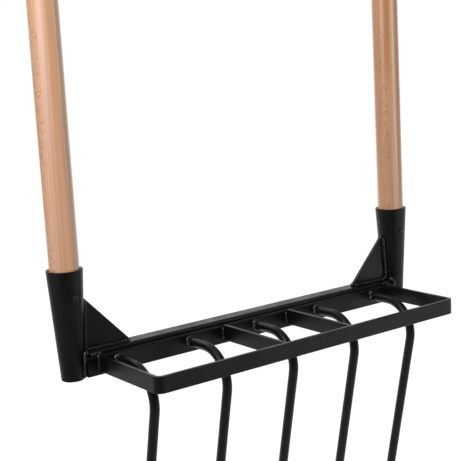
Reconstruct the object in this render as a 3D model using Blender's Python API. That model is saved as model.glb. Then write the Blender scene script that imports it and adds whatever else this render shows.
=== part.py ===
"""Compost broadfork: two beech handles in a welded head of black steel with five round tines.

Metres, +Z up. The origin is the middle of the crossbar's flat top, where the foot treads.
+X runs along the crossbar and -Y is the front, where the hoop and the tines reach out.
"""

import math

import bmesh
import bpy
from mathutils import Matrix, Vector

# Fit between neighbouring pieces
GAP = 0.0003
EPS = 1e-6

# Crossbar: square tube lying along X, its top face at Z = 0
TUBE_SIZE = 0.025
TUBE_WALL = 0.002
TUBE_CORNER = 0.004
COPE_STEPS = 8

# The flats between the gussets are a hair narrower, so that the tread is a face of its own
TREAD_LENGTH = 0.360
TREAD_CORNER = 0.0041

# Conical sockets at the crossbar's two ends
SOCKET_SPACING = 0.532
SOCKET_Y = -0.002
SOCKET_TOP_Z = 0.1025
SOCKET_BOTTOM_Z = -0.031
SOCKET_TOP_DIAMETER = 0.0436
SOCKET_BOTTOM_DIAMETER = 0.0276
SOCKET_WALL = 0.003
SOCKET_LIP = 0.0006

# Beech handles, tapered where they go into the sockets
HANDLE_DIAMETER = 0.036
HANDLE_TOP_Z = 1.1
HANDLE_FOOT_Z = -0.024
HANDLE_FOOT_CHAMFER = 0.0015
HANDLE_DOME = 0.011
HANDLE_FIT = 0.0004

# Two screws through each socket into the handle: one in front, one on the side towards the other handle
SCREW_Z = 0.071
SIDE_SCREW_Z = 0.0855
SCREW_HEAD_DIAMETER = 0.0058
SCREW_HEAD_HEIGHT = 0.0020
SCREW_SHANK_DIAMETER = 0.0036
SCREW_LENGTH = 0.026
SCREW_SLOT_WIDTH = 0.0010
SCREW_SLOT_DEPTH = 0.0010
SCREW_SLOT_TURN = math.radians(80)
SCREW_HOLE_DIAMETER = 0.0044
SCREW_HOLE_REACH = 0.012

# Flat back plate on the tube's front face
PLATE_HEIGHT = 0.024
PLATE_THICKNESS = 0.006
PLATE_TOP_Z = -0.005
PLATE_LENGTH = 0.507
FLAT_EDGE = 0.0007

# Hoop bent from one flat bar, and its two struts
HOOP_LENGTH = 0.477
HOOP_FRONT_Y = -0.1456
HOOP_THICKNESS = 0.005
HOOP_HEIGHT = 0.020
HOOP_TOP_Z = -0.0044
HOOP_CORNER = 0.010

# Gussets that brace the sockets on the crossbar
GUSSET_TOE_X = 0.1848
GUSSET_TOP_Z = 0.0644
GUSSET_THICKNESS = 0.005
GUSSET_BLUNT = 0.0015

# Tines: round bar, welded square to the plate, bent down and drawn to a point
TINE_COUNT = 5
TINE_SPACING = 0.105
TINE_DIAMETER = 0.012
TINE_ROOT_Z = -0.0157
TINE_RUN = 0.0299
TINE_BEND_RADIUS = 0.0410
TINE_BEND = math.radians(103.1)
TINE_TIP_Z = -0.31
TINE_TAPER = 0.050
TINE_TIP_DIAMETER = 0.003

# Weld beads
BEAD_RADIUS = 0.0022
BEAD_MARGIN = 0.001
FRONT_BEAD_RADIUS = 0.0027
FRONT_BEAD_FOOT_Z = -0.0285
REAR_BEAD_FOOT_Z = -0.022
STITCH_LENGTH = 0.020
STITCH_INSET = 0.0165
COLLAR_WIDTH = 0.0040
COLLAR_HEIGHT = 0.0042

ROUND_SIDES = 40
BAR_SIDES = 16
BEAD_SIDES = 8

# Places worked out from the sizes above
TUBE_HALF = TUBE_SIZE / 2
SOCKET_X = SOCKET_SPACING / 2
PLATE_BACK_Y = -TUBE_HALF - GAP
PLATE_FRONT_Y = PLATE_BACK_Y - PLATE_THICKNESS
HOOP_END_Y = PLATE_FRONT_Y - GAP
HOOP_INNER_Y = HOOP_FRONT_Y + HOOP_THICKNESS
HOOP_BOTTOM_Z = HOOP_TOP_Z - HOOP_HEIGHT
PLATE_BOTTOM_Z = PLATE_TOP_Z - PLATE_HEIGHT
STRUT_X = TINE_SPACING / 2
BEAD_REACH = BEAD_RADIUS + GAP


def socket_radius(z):
    """Outer radius of the conical socket at height z."""
    share = (z - SOCKET_BOTTOM_Z) / (SOCKET_TOP_Z - SOCKET_BOTTOM_Z)
    diameter = SOCKET_BOTTOM_DIAMETER + share * (SOCKET_TOP_DIAMETER - SOCKET_BOTTOM_DIAMETER)
    return diameter / 2


def clear_scene():
    for old in list(bpy.data.objects):
        bpy.data.objects.remove(old, do_unlink=True)


def make_material(name, colour, roughness, metallic):
    made = bpy.data.materials.new(name)
    made.use_nodes = True
    shader = made.node_tree.nodes["Principled BSDF"]
    shader.inputs["Base Color"].default_value = (*colour, 1.0)
    shader.inputs["Roughness"].default_value = roughness
    shader.inputs["Metallic"].default_value = metallic
    return made


def finish_mesh(name, shape, material, smooth_angle=35.0):
    """Turns a bmesh into a mesh with outward faces and its material."""
    bmesh.ops.remove_doubles(shape, verts=shape.verts, dist=EPS)
    bmesh.ops.recalc_face_normals(shape, faces=shape.faces)
    mesh = bpy.data.meshes.new(name)
    shape.to_mesh(mesh)
    shape.free()
    mesh.materials.append(material)
    mesh.shade_smooth()
    mesh.set_sharp_from_angle(angle=math.radians(smooth_angle))
    return mesh


def place(name, mesh, parent, location=(0.0, 0.0, 0.0), turn_z=0.0):
    """Puts a mesh in the scene as a named piece of the assembly."""
    piece = bpy.data.objects.new(name, mesh)
    piece.parent = parent
    piece.location = location
    piece.rotation_euler = (0.0, 0.0, turn_z)
    bpy.context.scene.collection.objects.link(piece)
    return piece


def loft(rings, close_path=False):
    """Skins a row of rings of points, with flat caps unless the path closes on itself."""
    shape = bmesh.new()
    rows = [[shape.verts.new(point) for point in ring] for ring in rings]
    pairs = list(zip(rows, rows[1:]))
    if close_path:
        pairs.append((rows[-1], rows[0]))
    for first, second in pairs:
        for i in range(len(first)):
            j = (i + 1) % len(first)
            shape.faces.new((first[i], first[j], second[j], second[i]))
    if not close_path:
        shape.faces.new(rows[0])
        shape.faces.new(rows[-1])
    return shape


def turned(profile, sides):
    """Turns an open profile of (radius, z) points about Z and closes its two ends with flat caps."""
    rings = []
    for radius, z in profile:
        ring = []
        for i in range(sides):
            angle = 2 * math.pi * i / sides
            ring.append((radius * math.cos(angle), radius * math.sin(angle), z))
        rings.append(ring)
    return loft(rings)


def turned_ring(profile, sides):
    """Turns a closed profile of (radius, z) points about Z into a ring."""
    rings = []
    for i in range(sides):
        angle = 2 * math.pi * i / sides
        rings.append([(r * math.cos(angle), r * math.sin(angle), z) for r, z in profile])
    return loft(rings, close_path=True)


def extruded(outline, axis_point, height):
    """Extrudes a flat outline, given as points by axis_point(u, v, w), through the height w."""
    shape = bmesh.new()
    floor = [shape.verts.new(axis_point(u, v, 0.0)) for u, v in outline]
    face = shape.faces.new(floor)
    grown = bmesh.ops.extrude_face_region(shape, geom=[face])
    moved = [item for item in grown["geom"] if isinstance(item, bmesh.types.BMVert)]
    step = Vector(axis_point(0.0, 0.0, height)) - Vector(axis_point(0.0, 0.0, 0.0))
    bmesh.ops.translate(shape, verts=moved, vec=step)
    return shape


def swept(points, radii, sides):
    """Sweeps a round section of changing radius along a path of points."""
    path = [Vector(point) for point in points]
    across = None
    rings = []
    for i, centre in enumerate(path):
        before = path[max(i - 1, 0)]
        after = path[min(i + 1, len(path) - 1)]
        along = (after - before).normalized()
        if across is None:
            across = along.orthogonal().normalized()
        across = (across - along * across.dot(along)).normalized()
        other = along.cross(across)
        ring = []
        for k in range(sides):
            angle = 2 * math.pi * (k + 0.5) / sides
            ring.append(centre + radii[i] * (across * math.cos(angle) + other * math.sin(angle)))
        rings.append(ring)
    return loft(rings)


def arc_points(centre, radius, start, end, steps):
    """Points (u, v) of an arc round a centre, angles in radians."""
    points = []
    for i in range(steps + 1):
        angle = start + (end - start) * i / steps
        points.append((centre[0] + radius * math.cos(angle), centre[1] + radius * math.sin(angle)))
    return points


def rounded_square(size, corner, steps=3):
    """Outline of a square with round corners, centred on the origin."""
    inset = size / 2 - corner
    outline = []
    for k, (u, v) in enumerate(((1, 1), (-1, 1), (-1, -1), (1, -1))):
        start = math.pi / 2 * k
        outline += arc_points((u * inset, v * inset), corner, start, start + math.pi / 2, steps)
    return outline


def soften_edges(piece, width=FLAT_EDGE):
    """Gives a flat bar the slightly rounded edges of rolled steel."""
    bevel = piece.modifiers.new("rolled_edges", "BEVEL")
    bevel.width = width
    bevel.segments = 1
    bevel.limit_method = "ANGLE"
    bevel.angle_limit = math.radians(60)


def cut_with(piece, cutter, name):
    """Cuts one closed shape out of a piece, and hides the cutter."""
    cut = piece.modifiers.new(name, "BOOLEAN")
    cut.operation = "DIFFERENCE"
    cut.solver = "EXACT"
    cut.object = cutter
    cutter.hide_render = True
    cutter.display_type = "WIRE"


def tube_rows(size, corner):
    """The tube's outline as rows of (y, z) points: a fine row for each flat, a pair for each chord of a corner."""
    outline = rounded_square(size, corner)
    rows = []
    for start, end in zip(outline, outline[1:] + outline[:1]):
        steps = COPE_STEPS if math.dist(start, end) > corner else 1
        row = []
        for i in range(steps + 1):
            y = start[0] + (end[0] - start[0]) * i / steps
            z = start[1] + (end[1] - start[1]) * i / steps
            row.append((y, z - TUBE_HALF))
        rows.append(row)
    return rows


def coped(row, side):
    """A row of the outline moved to the tube's end, where it meets a cone just outside the socket."""
    points = []
    for y, z in row:
        reach = socket_radius(z) + GAP
        across = y - SOCKET_Y
        points.append((side * (SOCKET_X - math.sqrt(reach * reach - across * across)), y, z))
    return points


def tube_mesh(steel):
    """Square tube with coped open ends, and one plain face for each flat along the tread."""
    shape = bmesh.new()

    def skin(*corners):
        shape.faces.new([shape.verts.new(corner) for corner in corners])

    tread = TREAD_LENGTH / 2
    middle_rows = tube_rows(TUBE_SIZE, TREAD_CORNER)
    outer_rows = tube_rows(TUBE_SIZE, TUBE_CORNER)
    inner_rows = tube_rows(TUBE_SIZE - 2 * TUBE_WALL, TUBE_CORNER - TUBE_WALL)
    for middle, outer, inner in zip(middle_rows, outer_rows, inner_rows):
        first = middle[0]
        last = middle[-1]
        skin((-tread, *first), (tread, *first), (tread, *last), (-tread, *last))
        skin(*coped(inner, -1), *reversed(coped(inner, 1)))
        for side in (-1, 1):
            cut = coped(outer, side)
            inner_cut = coped(inner, side)
            skin((side * tread, *first), *cut, (side * tread, *last))
            for k in range(len(cut) - 1):
                skin(cut[k], cut[k + 1], inner_cut[k + 1], inner_cut[k])
    return finish_mesh("crossbar_tube", shape, steel)


def make_crossbar(parent, steel):
    place("crossbar_tube", tube_mesh(steel), parent)


def make_plate(parent, steel):
    half = PLATE_LENGTH / 2
    outline = [(-half, PLATE_BACK_Y), (-half, PLATE_FRONT_Y), (half, PLATE_FRONT_Y), (half, PLATE_BACK_Y)]
    shape = extruded(outline, lambda u, v, w: (u, v, PLATE_BOTTOM_Z + w), PLATE_HEIGHT)
    soften_edges(place("back_plate", finish_mesh("back_plate", shape, steel), parent))


def socket_mesh(steel):
    """Conical socket, open at both ends, with a small lip chamfer at each rim."""
    top = socket_radius(SOCKET_TOP_Z)
    bottom = socket_radius(SOCKET_BOTTOM_Z)
    profile = [
        (top - SOCKET_LIP, SOCKET_TOP_Z),
        (top, SOCKET_TOP_Z - SOCKET_LIP),
        (bottom, SOCKET_BOTTOM_Z + SOCKET_LIP),
        (bottom - SOCKET_LIP, SOCKET_BOTTOM_Z),
        (bottom - SOCKET_WALL, SOCKET_BOTTOM_Z),
        (top - SOCKET_WALL, SOCKET_TOP_Z),
    ]
    return finish_mesh("socket", turned_ring(profile, ROUND_SIDES), steel)


def handle_mesh(wood):
    """Round handle: flat foot, taper to fit the cone, straight shaft and a domed top."""
    radius = HANDLE_DIAMETER / 2
    fit = SOCKET_WALL + HANDLE_FIT
    slope = (SOCKET_TOP_DIAMETER - SOCKET_BOTTOM_DIAMETER) / 2 / (SOCKET_TOP_Z - SOCKET_BOTTOM_Z)
    shoulder_z = SOCKET_TOP_Z - (socket_radius(SOCKET_TOP_Z) - fit - radius) / slope
    foot = socket_radius(HANDLE_FOOT_Z) - fit
    chamfer = HANDLE_FOOT_CHAMFER
    profile = [(foot - chamfer, HANDLE_FOOT_Z), (foot, HANDLE_FOOT_Z + chamfer), (radius, shoulder_z)]
    flat_top = radius - HANDLE_DOME
    for r, z in arc_points((flat_top, HANDLE_TOP_Z - HANDLE_DOME), HANDLE_DOME, 0.0, math.pi / 2, 6):
        profile.append((r, z))
    return finish_mesh("handle", turned(profile, ROUND_SIDES), wood)


def screw_hole(parent, location, turn_z):
    """Cutter for a screw's hole, from outside the socket to past the screw's point."""
    radius = SCREW_HOLE_DIAMETER / 2
    shape = turned([(radius, -SCREW_HOLE_REACH), (radius, SCREW_LENGTH + GAP)], BAR_SIDES)
    bmesh.ops.rotate(shape, verts=shape.verts, cent=(0, 0, 0), matrix=Matrix.Rotation(-math.pi / 2, 3, "X"))
    return place("screw_hole", finish_mesh("screw_hole", shape, None), parent, location, turn_z)


def screw_mesh(metal):
    """Round head screw along +Y: the head's underside is at the origin, the shank behind it."""
    head = SCREW_HEAD_DIAMETER / 2
    shank = SCREW_SHANK_DIAMETER / 2
    profile = [
        (head * 0.45, -SCREW_HEAD_HEIGHT),
        (head * 0.80, -SCREW_HEAD_HEIGHT * 0.76),
        (head, -SCREW_HEAD_HEIGHT * 0.28),
        (head, 0.0),
        (shank, 0.0),
        (shank, SCREW_LENGTH - 2 * shank),
        (shank * 0.25, SCREW_LENGTH - GAP),
    ]
    shape = turned(profile, BAR_SIDES)
    bmesh.ops.rotate(shape, verts=shape.verts, cent=(0, 0, 0), matrix=Matrix.Rotation(-math.pi / 2, 3, "X"))
    return finish_mesh("handle_screw", shape, metal)


def screw_slot(parent, location, turn_z):
    """Cutter for the slot across the screw's head."""
    shape = bmesh.new()
    bmesh.ops.create_cube(shape, size=1.0)
    size = (SCREW_HEAD_DIAMETER * 2, SCREW_SLOT_DEPTH * 2, SCREW_SLOT_WIDTH)
    bmesh.ops.scale(shape, vec=size, verts=shape.verts)
    bmesh.ops.rotate(shape, verts=shape.verts, cent=(0, 0, 0), matrix=Matrix.Rotation(SCREW_SLOT_TURN, 3, "Y"))
    bmesh.ops.translate(shape, vec=(0, -SCREW_HEAD_HEIGHT, 0), verts=shape.verts)
    return place("screw_slot", finish_mesh("screw_slot", shape, None), parent, location, turn_z)


def screw_seats(side):
    """Name, place and turn of a socket's two screws, whose heads lie on the cone."""
    front_out = socket_radius(SCREW_Z + SCREW_HEAD_DIAMETER / 2) + GAP
    side_out = socket_radius(SIDE_SCREW_Z + SCREW_HEAD_DIAMETER / 2) + GAP
    front = (side * SOCKET_X, SOCKET_Y - front_out, SCREW_Z)
    inner = (side * (SOCKET_X - side_out), SOCKET_Y, SIDE_SCREW_Z)
    return ("handle_screw", front, 0.0), ("handle_side_screw", inner, -side * math.pi / 2)


def make_handles(parent, steel, wood, metal):
    socket = socket_mesh(steel)
    handle = handle_mesh(wood)
    screw = screw_mesh(metal)
    for side, hand in ((-1, "left"), (1, "right")):
        foot = (side * SOCKET_X, SOCKET_Y, 0.0)
        drilled = (place(f"{hand}_socket", socket, parent, foot), place(f"{hand}_handle", handle, parent, foot))
        for name, seat, turn_z in screw_seats(side):
            hole = screw_hole(parent, seat, turn_z)
            for piece in drilled:
                cut_with(piece, hole, name)
            head = place(f"{hand}_{name}", screw, parent, seat, turn_z)
            cut_with(head, screw_slot(parent, seat, turn_z), "slot")


def make_hoop(parent, steel):
    """One flat bar on edge, bent twice: left side, front bar and right side."""
    half = HOOP_LENGTH / 2
    inner_half = half - HOOP_THICKNESS
    bend = HOOP_CORNER
    inner_bend = HOOP_CORNER - HOOP_THICKNESS
    quarter = math.pi / 2
    outline = [(-half, HOOP_END_Y)]
    outline += arc_points((-half + bend, HOOP_FRONT_Y + bend), bend, math.pi, math.pi + quarter, 6)
    outline += arc_points((half - bend, HOOP_FRONT_Y + bend), bend, -quarter, 0.0, 6)
    outline += [(half, HOOP_END_Y), (inner_half, HOOP_END_Y)]
    outline += arc_points((half - bend, HOOP_FRONT_Y + bend), inner_bend, 0.0, -quarter, 6)
    outline += arc_points((-half + bend, HOOP_FRONT_Y + bend), inner_bend, math.pi + quarter, math.pi, 6)
    outline.append((-inner_half, HOOP_END_Y))
    shape = extruded(outline, lambda u, v, w: (u, v, HOOP_BOTTOM_Z + w), HOOP_HEIGHT)
    soften_edges(place("hoop", finish_mesh("hoop", shape, steel), parent))


def make_struts(parent, steel):
    """Two flat bars between the plate and the hoop's front, halfway between tines."""
    half = HOOP_THICKNESS / 2
    front = HOOP_INNER_Y + GAP
    outline = [(-half, front), (half, front), (half, HOOP_END_Y), (-half, HOOP_END_Y)]
    shape = extruded(outline, lambda u, v, w: (u, v, HOOP_BOTTOM_Z + w), HOOP_HEIGHT)
    mesh = finish_mesh("strut", shape, steel)
    for side, hand in ((-1, "left"), (1, "right")):
        soften_edges(place(f"{hand}_strut", mesh, parent, (side * STRUT_X, 0.0, 0.0)))


def gusset_edge_x(z):
    """How far from the middle the gusset's upright edge is at height z."""
    return SOCKET_X - socket_radius(z) - GAP


def make_gussets(parent, steel):
    """Triangular plates that stand on the tube and lean on the sockets."""
    low = GAP
    outline = [
        (GUSSET_TOE_X, low),
        (gusset_edge_x(low), low),
        (gusset_edge_x(GUSSET_TOP_Z), GUSSET_TOP_Z),
        (gusset_edge_x(GUSSET_TOP_Z) - GUSSET_BLUNT, GUSSET_TOP_Z),
        (GUSSET_TOE_X, low + GUSSET_BLUNT),
    ]
    half = GUSSET_THICKNESS / 2
    shape = extruded(outline, lambda u, v, w: (u, -half + w, v), GUSSET_THICKNESS)
    mesh = finish_mesh("gusset", shape, steel)
    for hand, turn in (("left", math.pi), ("right", 0.0)):
        soften_edges(place(f"{hand}_gusset", mesh, parent, (0.0, SOCKET_Y, 0.0), turn))


def tine_path():
    """Centre line of a tine in its own frame: root at the origin, forward is -Y."""
    root = (0.0, 0.0, 0.0)
    bend_y = -TINE_RUN
    centre = (bend_y, -TINE_BEND_RADIUS)
    start = math.pi / 2
    points = [root]
    for y, z in arc_points(centre, TINE_BEND_RADIUS, start, start + TINE_BEND, 12):
        points.append((0.0, y, z))
    _, last_y, last_z = points[-1]
    drop = last_z - (TINE_TIP_Z - TINE_ROOT_Z)
    length = drop / math.sin(TINE_BEND)
    along = (-math.cos(TINE_BEND), -math.sin(TINE_BEND))
    for share in (0.35, 0.70, 1 - TINE_TAPER / length, 1 - 0.45 * TINE_TAPER / length, 1.0):
        points.append((0.0, last_y + along[0] * length * share, last_z + along[1] * length * share))
    return points


def make_tines(parent, steel):
    points = tine_path()
    radius = TINE_DIAMETER / 2
    radii = [radius] * (len(points) - 2) + [radius * 0.72, TINE_TIP_DIAMETER / 2]
    mesh = finish_mesh("tine", swept(points, radii, BAR_SIDES), steel)
    for number in range(TINE_COUNT):
        x = (number - (TINE_COUNT - 1) / 2) * TINE_SPACING
        place(f"tine_{number + 1}", mesh, parent, (x, HOOP_END_Y, TINE_ROOT_Z))


def make_tine_collars(parent, steel):
    """Fillet welds that ring each tine's root against the plate."""
    inner = TINE_DIAMETER / 2 + GAP
    profile = [
        (inner, 0.0),
        (inner + COLLAR_WIDTH, 0.0),
        (inner + COLLAR_WIDTH * 0.78, COLLAR_HEIGHT * 0.45),
        (inner + COLLAR_WIDTH * 0.42, COLLAR_HEIGHT * 0.82),
        (inner, COLLAR_HEIGHT),
    ]
    shape = turned_ring(profile, 2 * BAR_SIDES)
    bmesh.ops.rotate(shape, verts=shape.verts, cent=(0, 0, 0), matrix=Matrix.Rotation(math.pi / 2, 3, "X"))
    mesh = finish_mesh("tine_collar", shape, steel)
    for number in range(TINE_COUNT):
        x = (number - (TINE_COUNT - 1) / 2) * TINE_SPACING
        place(f"tine_{number + 1}_weld", mesh, parent, (x, HOOP_END_Y, TINE_ROOT_Z))


def bead_mesh(name, points, steel, radius=BEAD_RADIUS):
    """Weld bead with a round section and tapered ends along a path."""
    first = Vector(points[0])
    last = Vector(points[-1])
    into = (Vector(points[1]) - first).normalized() * radius
    out = (last - Vector(points[-2])).normalized() * radius
    path = [first, first + into, *(Vector(point) for point in points[1:-1]), last - out, last]
    radii = [radius * 0.5] + [radius] * (len(path) - 2) + [radius * 0.5]
    return finish_mesh(name, swept(path, radii, BEAD_SIDES), steel, 60.0)


def make_gusset_beads(parent, steel):
    """L-shaped beads along each gusset's foot and upright edge, in front and behind."""
    y = GUSSET_THICKNESS / 2 + BEAD_REACH
    foot_z = BEAD_REACH
    corner_x = gusset_edge_x(foot_z) - BEAD_REACH
    turn = 2 * BEAD_RADIUS
    high = GUSSET_TOP_Z - BEAD_RADIUS
    points = [
        (GUSSET_TOE_X + BEAD_RADIUS, -y, foot_z),
        (corner_x - turn, -y, foot_z),
        (corner_x - turn * 0.3, -y, foot_z + turn * 0.3),
        (corner_x - turn * 0.1, -y, foot_z + turn),
        (gusset_edge_x(high) - BEAD_REACH, -y, high),
    ]
    mesh = bead_mesh("gusset_bead", points, steel)
    mirrored = [(-point[0], point[1], point[2]) for point in points]
    other = bead_mesh("gusset_bead_mirrored", mirrored, steel)
    seat = (0.0, SOCKET_Y, 0.0)
    place("right_gusset_weld_front", mesh, parent, seat)
    place("left_gusset_weld_rear", mesh, parent, seat, math.pi)
    place("left_gusset_weld_front", other, parent, seat)
    place("right_gusset_weld_rear", other, parent, seat, math.pi)


def around_socket(side, facing, degrees, z, out):
    """Point beside a socket, at an angle from the crossbar towards the front (-1) or the back (1)."""
    angle = math.radians(degrees)
    radius = socket_radius(z) + out
    return (side * (SOCKET_X - radius * math.cos(angle)), SOCKET_Y + facing * radius * math.sin(angle), z)


def make_socket_beads(parent, steel):
    """Beads round each socket: over the tube's top, then down the corner in front or behind."""
    front_out = FRONT_BEAD_RADIUS + GAP
    for side, hand in ((-1, "left"), (1, "right")):
        over = [around_socket(side, -1, degrees, front_out, front_out) for degrees in (30, 40, 50)]
        down = [around_socket(side, -1, 60, z, front_out) for z in (-0.001, -0.012, FRONT_BEAD_FOOT_Z)]
        mesh = bead_mesh(f"{hand}_socket_bead_front", over + down, steel, FRONT_BEAD_RADIUS)
        place(f"{hand}_socket_weld_front", mesh, parent)
        over = [around_socket(side, 1, degrees, BEAD_REACH, BEAD_REACH) for degrees in (24, 38, 52, 64)]
        down = [around_socket(side, 1, 74, z, BEAD_REACH + GAP) for z in (-0.002, -0.012, REAR_BEAD_FOOT_Z)]
        mesh = bead_mesh(f"{hand}_socket_bead_rear", over + down, steel)
        place(f"{hand}_socket_weld_rear", mesh, parent)


def make_plate_beads(parent, steel):
    """Short stitch beads between the plate's top edge and the tube, next to the sockets."""
    y = PLATE_BACK_Y - BEAD_RADIUS
    z = PLATE_TOP_Z + BEAD_REACH
    near = SOCKET_X - STITCH_INSET
    far = near - STITCH_LENGTH
    for side, hand in ((-1, "left"), (1, "right")):
        mesh = bead_mesh(f"{hand}_plate_bead", [(side * far, y, z), (side * near, y, z)], steel)
        place(f"{hand}_plate_weld", mesh, parent)


def make_hoop_beads(parent, steel):
    """Upright beads in the corners where the hoop's ends meet the plate."""
    x = HOOP_LENGTH / 2 + BEAD_REACH
    y = PLATE_FRONT_Y - BEAD_REACH
    low = HOOP_BOTTOM_Z + BEAD_MARGIN
    high = HOOP_TOP_Z - BEAD_MARGIN
    for side, hand in ((-1, "left"), (1, "right")):
        mesh = bead_mesh(f"{hand}_hoop_bead", [(side * x, y, low), (side * x, y, high)], steel)
        place(f"{hand}_hoop_weld", mesh, parent)


def make_strut_beads(parent, steel):
    """Upright beads on the left of each strut, at the plate and at the hoop's front bar."""
    offset = HOOP_THICKNESS / 2 + BEAD_REACH
    low = HOOP_BOTTOM_Z + BEAD_MARGIN
    high = HOOP_TOP_Z - BEAD_MARGIN
    for side, hand in ((-1, "left"), (1, "right")):
        x = side * STRUT_X - offset
        for end, y in (("plate", PLATE_FRONT_Y - BEAD_REACH), ("hoop", HOOP_INNER_Y + BEAD_REACH)):
            mesh = bead_mesh(f"{hand}_strut_bead_{end}", [(x, y, low), (x, y, high)], steel)
            place(f"{hand}_strut_weld_{end}", mesh, parent)


def main():
    clear_scene()
    head = bpy.data.objects.new("broadfork", None)
    bpy.context.scene.collection.objects.link(head)
    steel = make_material("black_paint", (0.012, 0.012, 0.012), 0.42, 0.0)
    weld = make_material("painted_weld", (0.016, 0.016, 0.016), 0.38, 0.0)
    wood = make_material("beech", (0.61, 0.34, 0.21), 0.45, 0.0)
    metal = make_material("blackened_screw", (0.05, 0.05, 0.05), 0.35, 0.6)
    make_crossbar(head, steel)
    make_plate(head, steel)
    make_handles(head, steel, wood, metal)
    make_hoop(head, steel)
    make_struts(head, steel)
    make_gussets(head, steel)
    make_tines(head, steel)
    make_tine_collars(head, weld)
    make_gusset_beads(head, weld)
    make_socket_beads(head, weld)
    make_plate_beads(head, weld)
    make_hoop_beads(head, weld)
    make_strut_beads(head, weld)
    bpy.context.view_layer.update()


main()
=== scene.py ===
# %% [markdown]
# # Dressing a compost broadfork
# The fork is a welded head of black enamelled steel with two varnished beech handles. The packed
# model gives every piece its true place and size. This script gives each piece its finished
# surface: rolled edges on the flat bar, ripples on the weld beads, grain in the wood and a satin
# film of paint. It reads like a notebook, one step to a cell.

import math

import bmesh
import bpy
from mathutils import Matrix, Vector, noise


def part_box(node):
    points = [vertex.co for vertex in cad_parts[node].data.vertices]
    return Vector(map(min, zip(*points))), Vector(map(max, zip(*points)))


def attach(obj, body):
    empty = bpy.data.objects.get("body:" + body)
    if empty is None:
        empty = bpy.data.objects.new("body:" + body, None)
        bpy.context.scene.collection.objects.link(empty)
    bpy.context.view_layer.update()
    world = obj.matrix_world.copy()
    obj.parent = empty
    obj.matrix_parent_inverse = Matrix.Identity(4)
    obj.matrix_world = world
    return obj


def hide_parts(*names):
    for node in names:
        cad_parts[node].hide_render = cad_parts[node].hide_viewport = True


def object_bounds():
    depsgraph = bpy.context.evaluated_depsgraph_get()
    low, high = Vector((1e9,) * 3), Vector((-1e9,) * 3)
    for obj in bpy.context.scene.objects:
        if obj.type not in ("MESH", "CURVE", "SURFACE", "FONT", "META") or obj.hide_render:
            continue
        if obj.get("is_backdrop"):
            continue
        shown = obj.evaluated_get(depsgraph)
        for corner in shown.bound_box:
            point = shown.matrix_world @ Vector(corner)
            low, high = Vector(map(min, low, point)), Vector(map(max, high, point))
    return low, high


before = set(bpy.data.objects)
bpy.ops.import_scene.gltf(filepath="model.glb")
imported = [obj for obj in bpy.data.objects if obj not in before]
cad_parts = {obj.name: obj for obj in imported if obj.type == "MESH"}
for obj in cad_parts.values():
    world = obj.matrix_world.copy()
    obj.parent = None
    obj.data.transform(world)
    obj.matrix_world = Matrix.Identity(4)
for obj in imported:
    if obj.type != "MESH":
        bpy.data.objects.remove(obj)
cad_low, cad_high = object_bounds()
print("nodes in the frame:", len(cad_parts))

# %% [markdown]
# ## Sizes
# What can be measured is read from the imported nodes, so that a piece made here always fits the
# one it stands for. Only sizes that a box can't show, such as a bend or a wall, are given again,
# each in the step that needs it. The sockets come first, since most of the head starts at them.

# %% Measure the sockets
MM = 0.001
SOCKET_BOTTOM_RADIUS = 13.8 * MM
HANDS = ((-1, "left"), (1, "right"))
socket_low, socket_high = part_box("right_socket")
socket_x = (socket_low.x + socket_high.x) / 2
socket_y = (socket_low.y + socket_high.y) / 2
socket_top_radius = (socket_high.x - socket_low.x) / 2


def cone_radius(z):
    """Outer radius of a socket at height z."""
    share = (z - socket_low.z) / (socket_high.z - socket_low.z)
    return SOCKET_BOTTOM_RADIUS + share * (socket_top_radius - SOCKET_BOTTOM_RADIUS)


print("socket axes are", round(2 * socket_x / MM, 1), "mm apart")

# %% [markdown]
# ## Small helpers for nodes
# Shader trees and Geometry Nodes trees are built the same way: add a node, set its options, then
# link or set its inputs. Written out by hand, that takes a line for every link. The first two
# helpers do it all at once. The others wrap the nodes that come up again and again, so that each
# tree below reads as a short recipe.

# %% Helpers: add a node, and work with numbers
SIGNS = {"+": "ADD", "-": "SUBTRACT", "*": "MULTIPLY", "/": "DIVIDE"}


def feed(tree, made, feeds):
    """Links or sets each input of a node that is named or numbered in feeds."""
    for key, value in feeds.items():
        if isinstance(value, bpy.types.NodeSocket):
            tree.links.new(value, made.inputs[key])
        else:
            made.inputs[key].default_value = value


def node(tree, kind, feeds=None, **settings):
    """Adds a node, applies its settings, then links or sets its inputs."""
    made = tree.nodes.new(kind)
    made.location = (190 * len(tree.nodes), 0)
    for name, value in settings.items():
        setattr(made, name, value)
    feed(tree, made, feeds or {})
    return made


def calc(tree, sign, first, second=0.0, clamp=False):
    """A Math node's result. The sign is one of + - * / or the name of an operation."""
    settings = {"operation": SIGNS.get(sign, sign), "use_clamp": clamp}
    return node(tree, "ShaderNodeMath", {0: first, 1: second}, **settings).outputs[0]


def spread(tree, value, low, high, to_low=0.0, to_high=1.0):
    """A Map Range node's result, clamped, with smooth ends."""
    feeds = {"Value": value, "From Min": low, "From Max": high, "To Min": to_low, "To Max": to_high}
    made = node(tree, "ShaderNodeMapRange", feeds, interpolation_type="SMOOTHSTEP")
    return made.outputs["Result"]


def noisy(tree, place, scale, detail):
    """A Noise Texture's value, at a given place or else at the point itself."""
    feeds = {"Scale": scale, "Detail": detail}
    if place is not None:
        feeds["Vector"] = place
    return node(tree, "ShaderNodeTexNoise", feeds).outputs["Fac"]


print("signs of a Math node:", *SIGNS)

# %% [markdown]
# A node group is a tree with sockets of its own, which other trees use like a single node. The
# sockets are made through the group's interface, each by its name and kind. The kind follows
# from the value that a socket starts with, so a group's inputs can be given as a short list.


# %% Helpers: node groups
def socket_kind(value):
    """The kind of socket for a value. A text is itself the kind, of a socket with no value."""
    if isinstance(value, str):
        return value
    return "NodeSocketVector" if isinstance(value, tuple) else "NodeSocketFloat"


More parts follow.
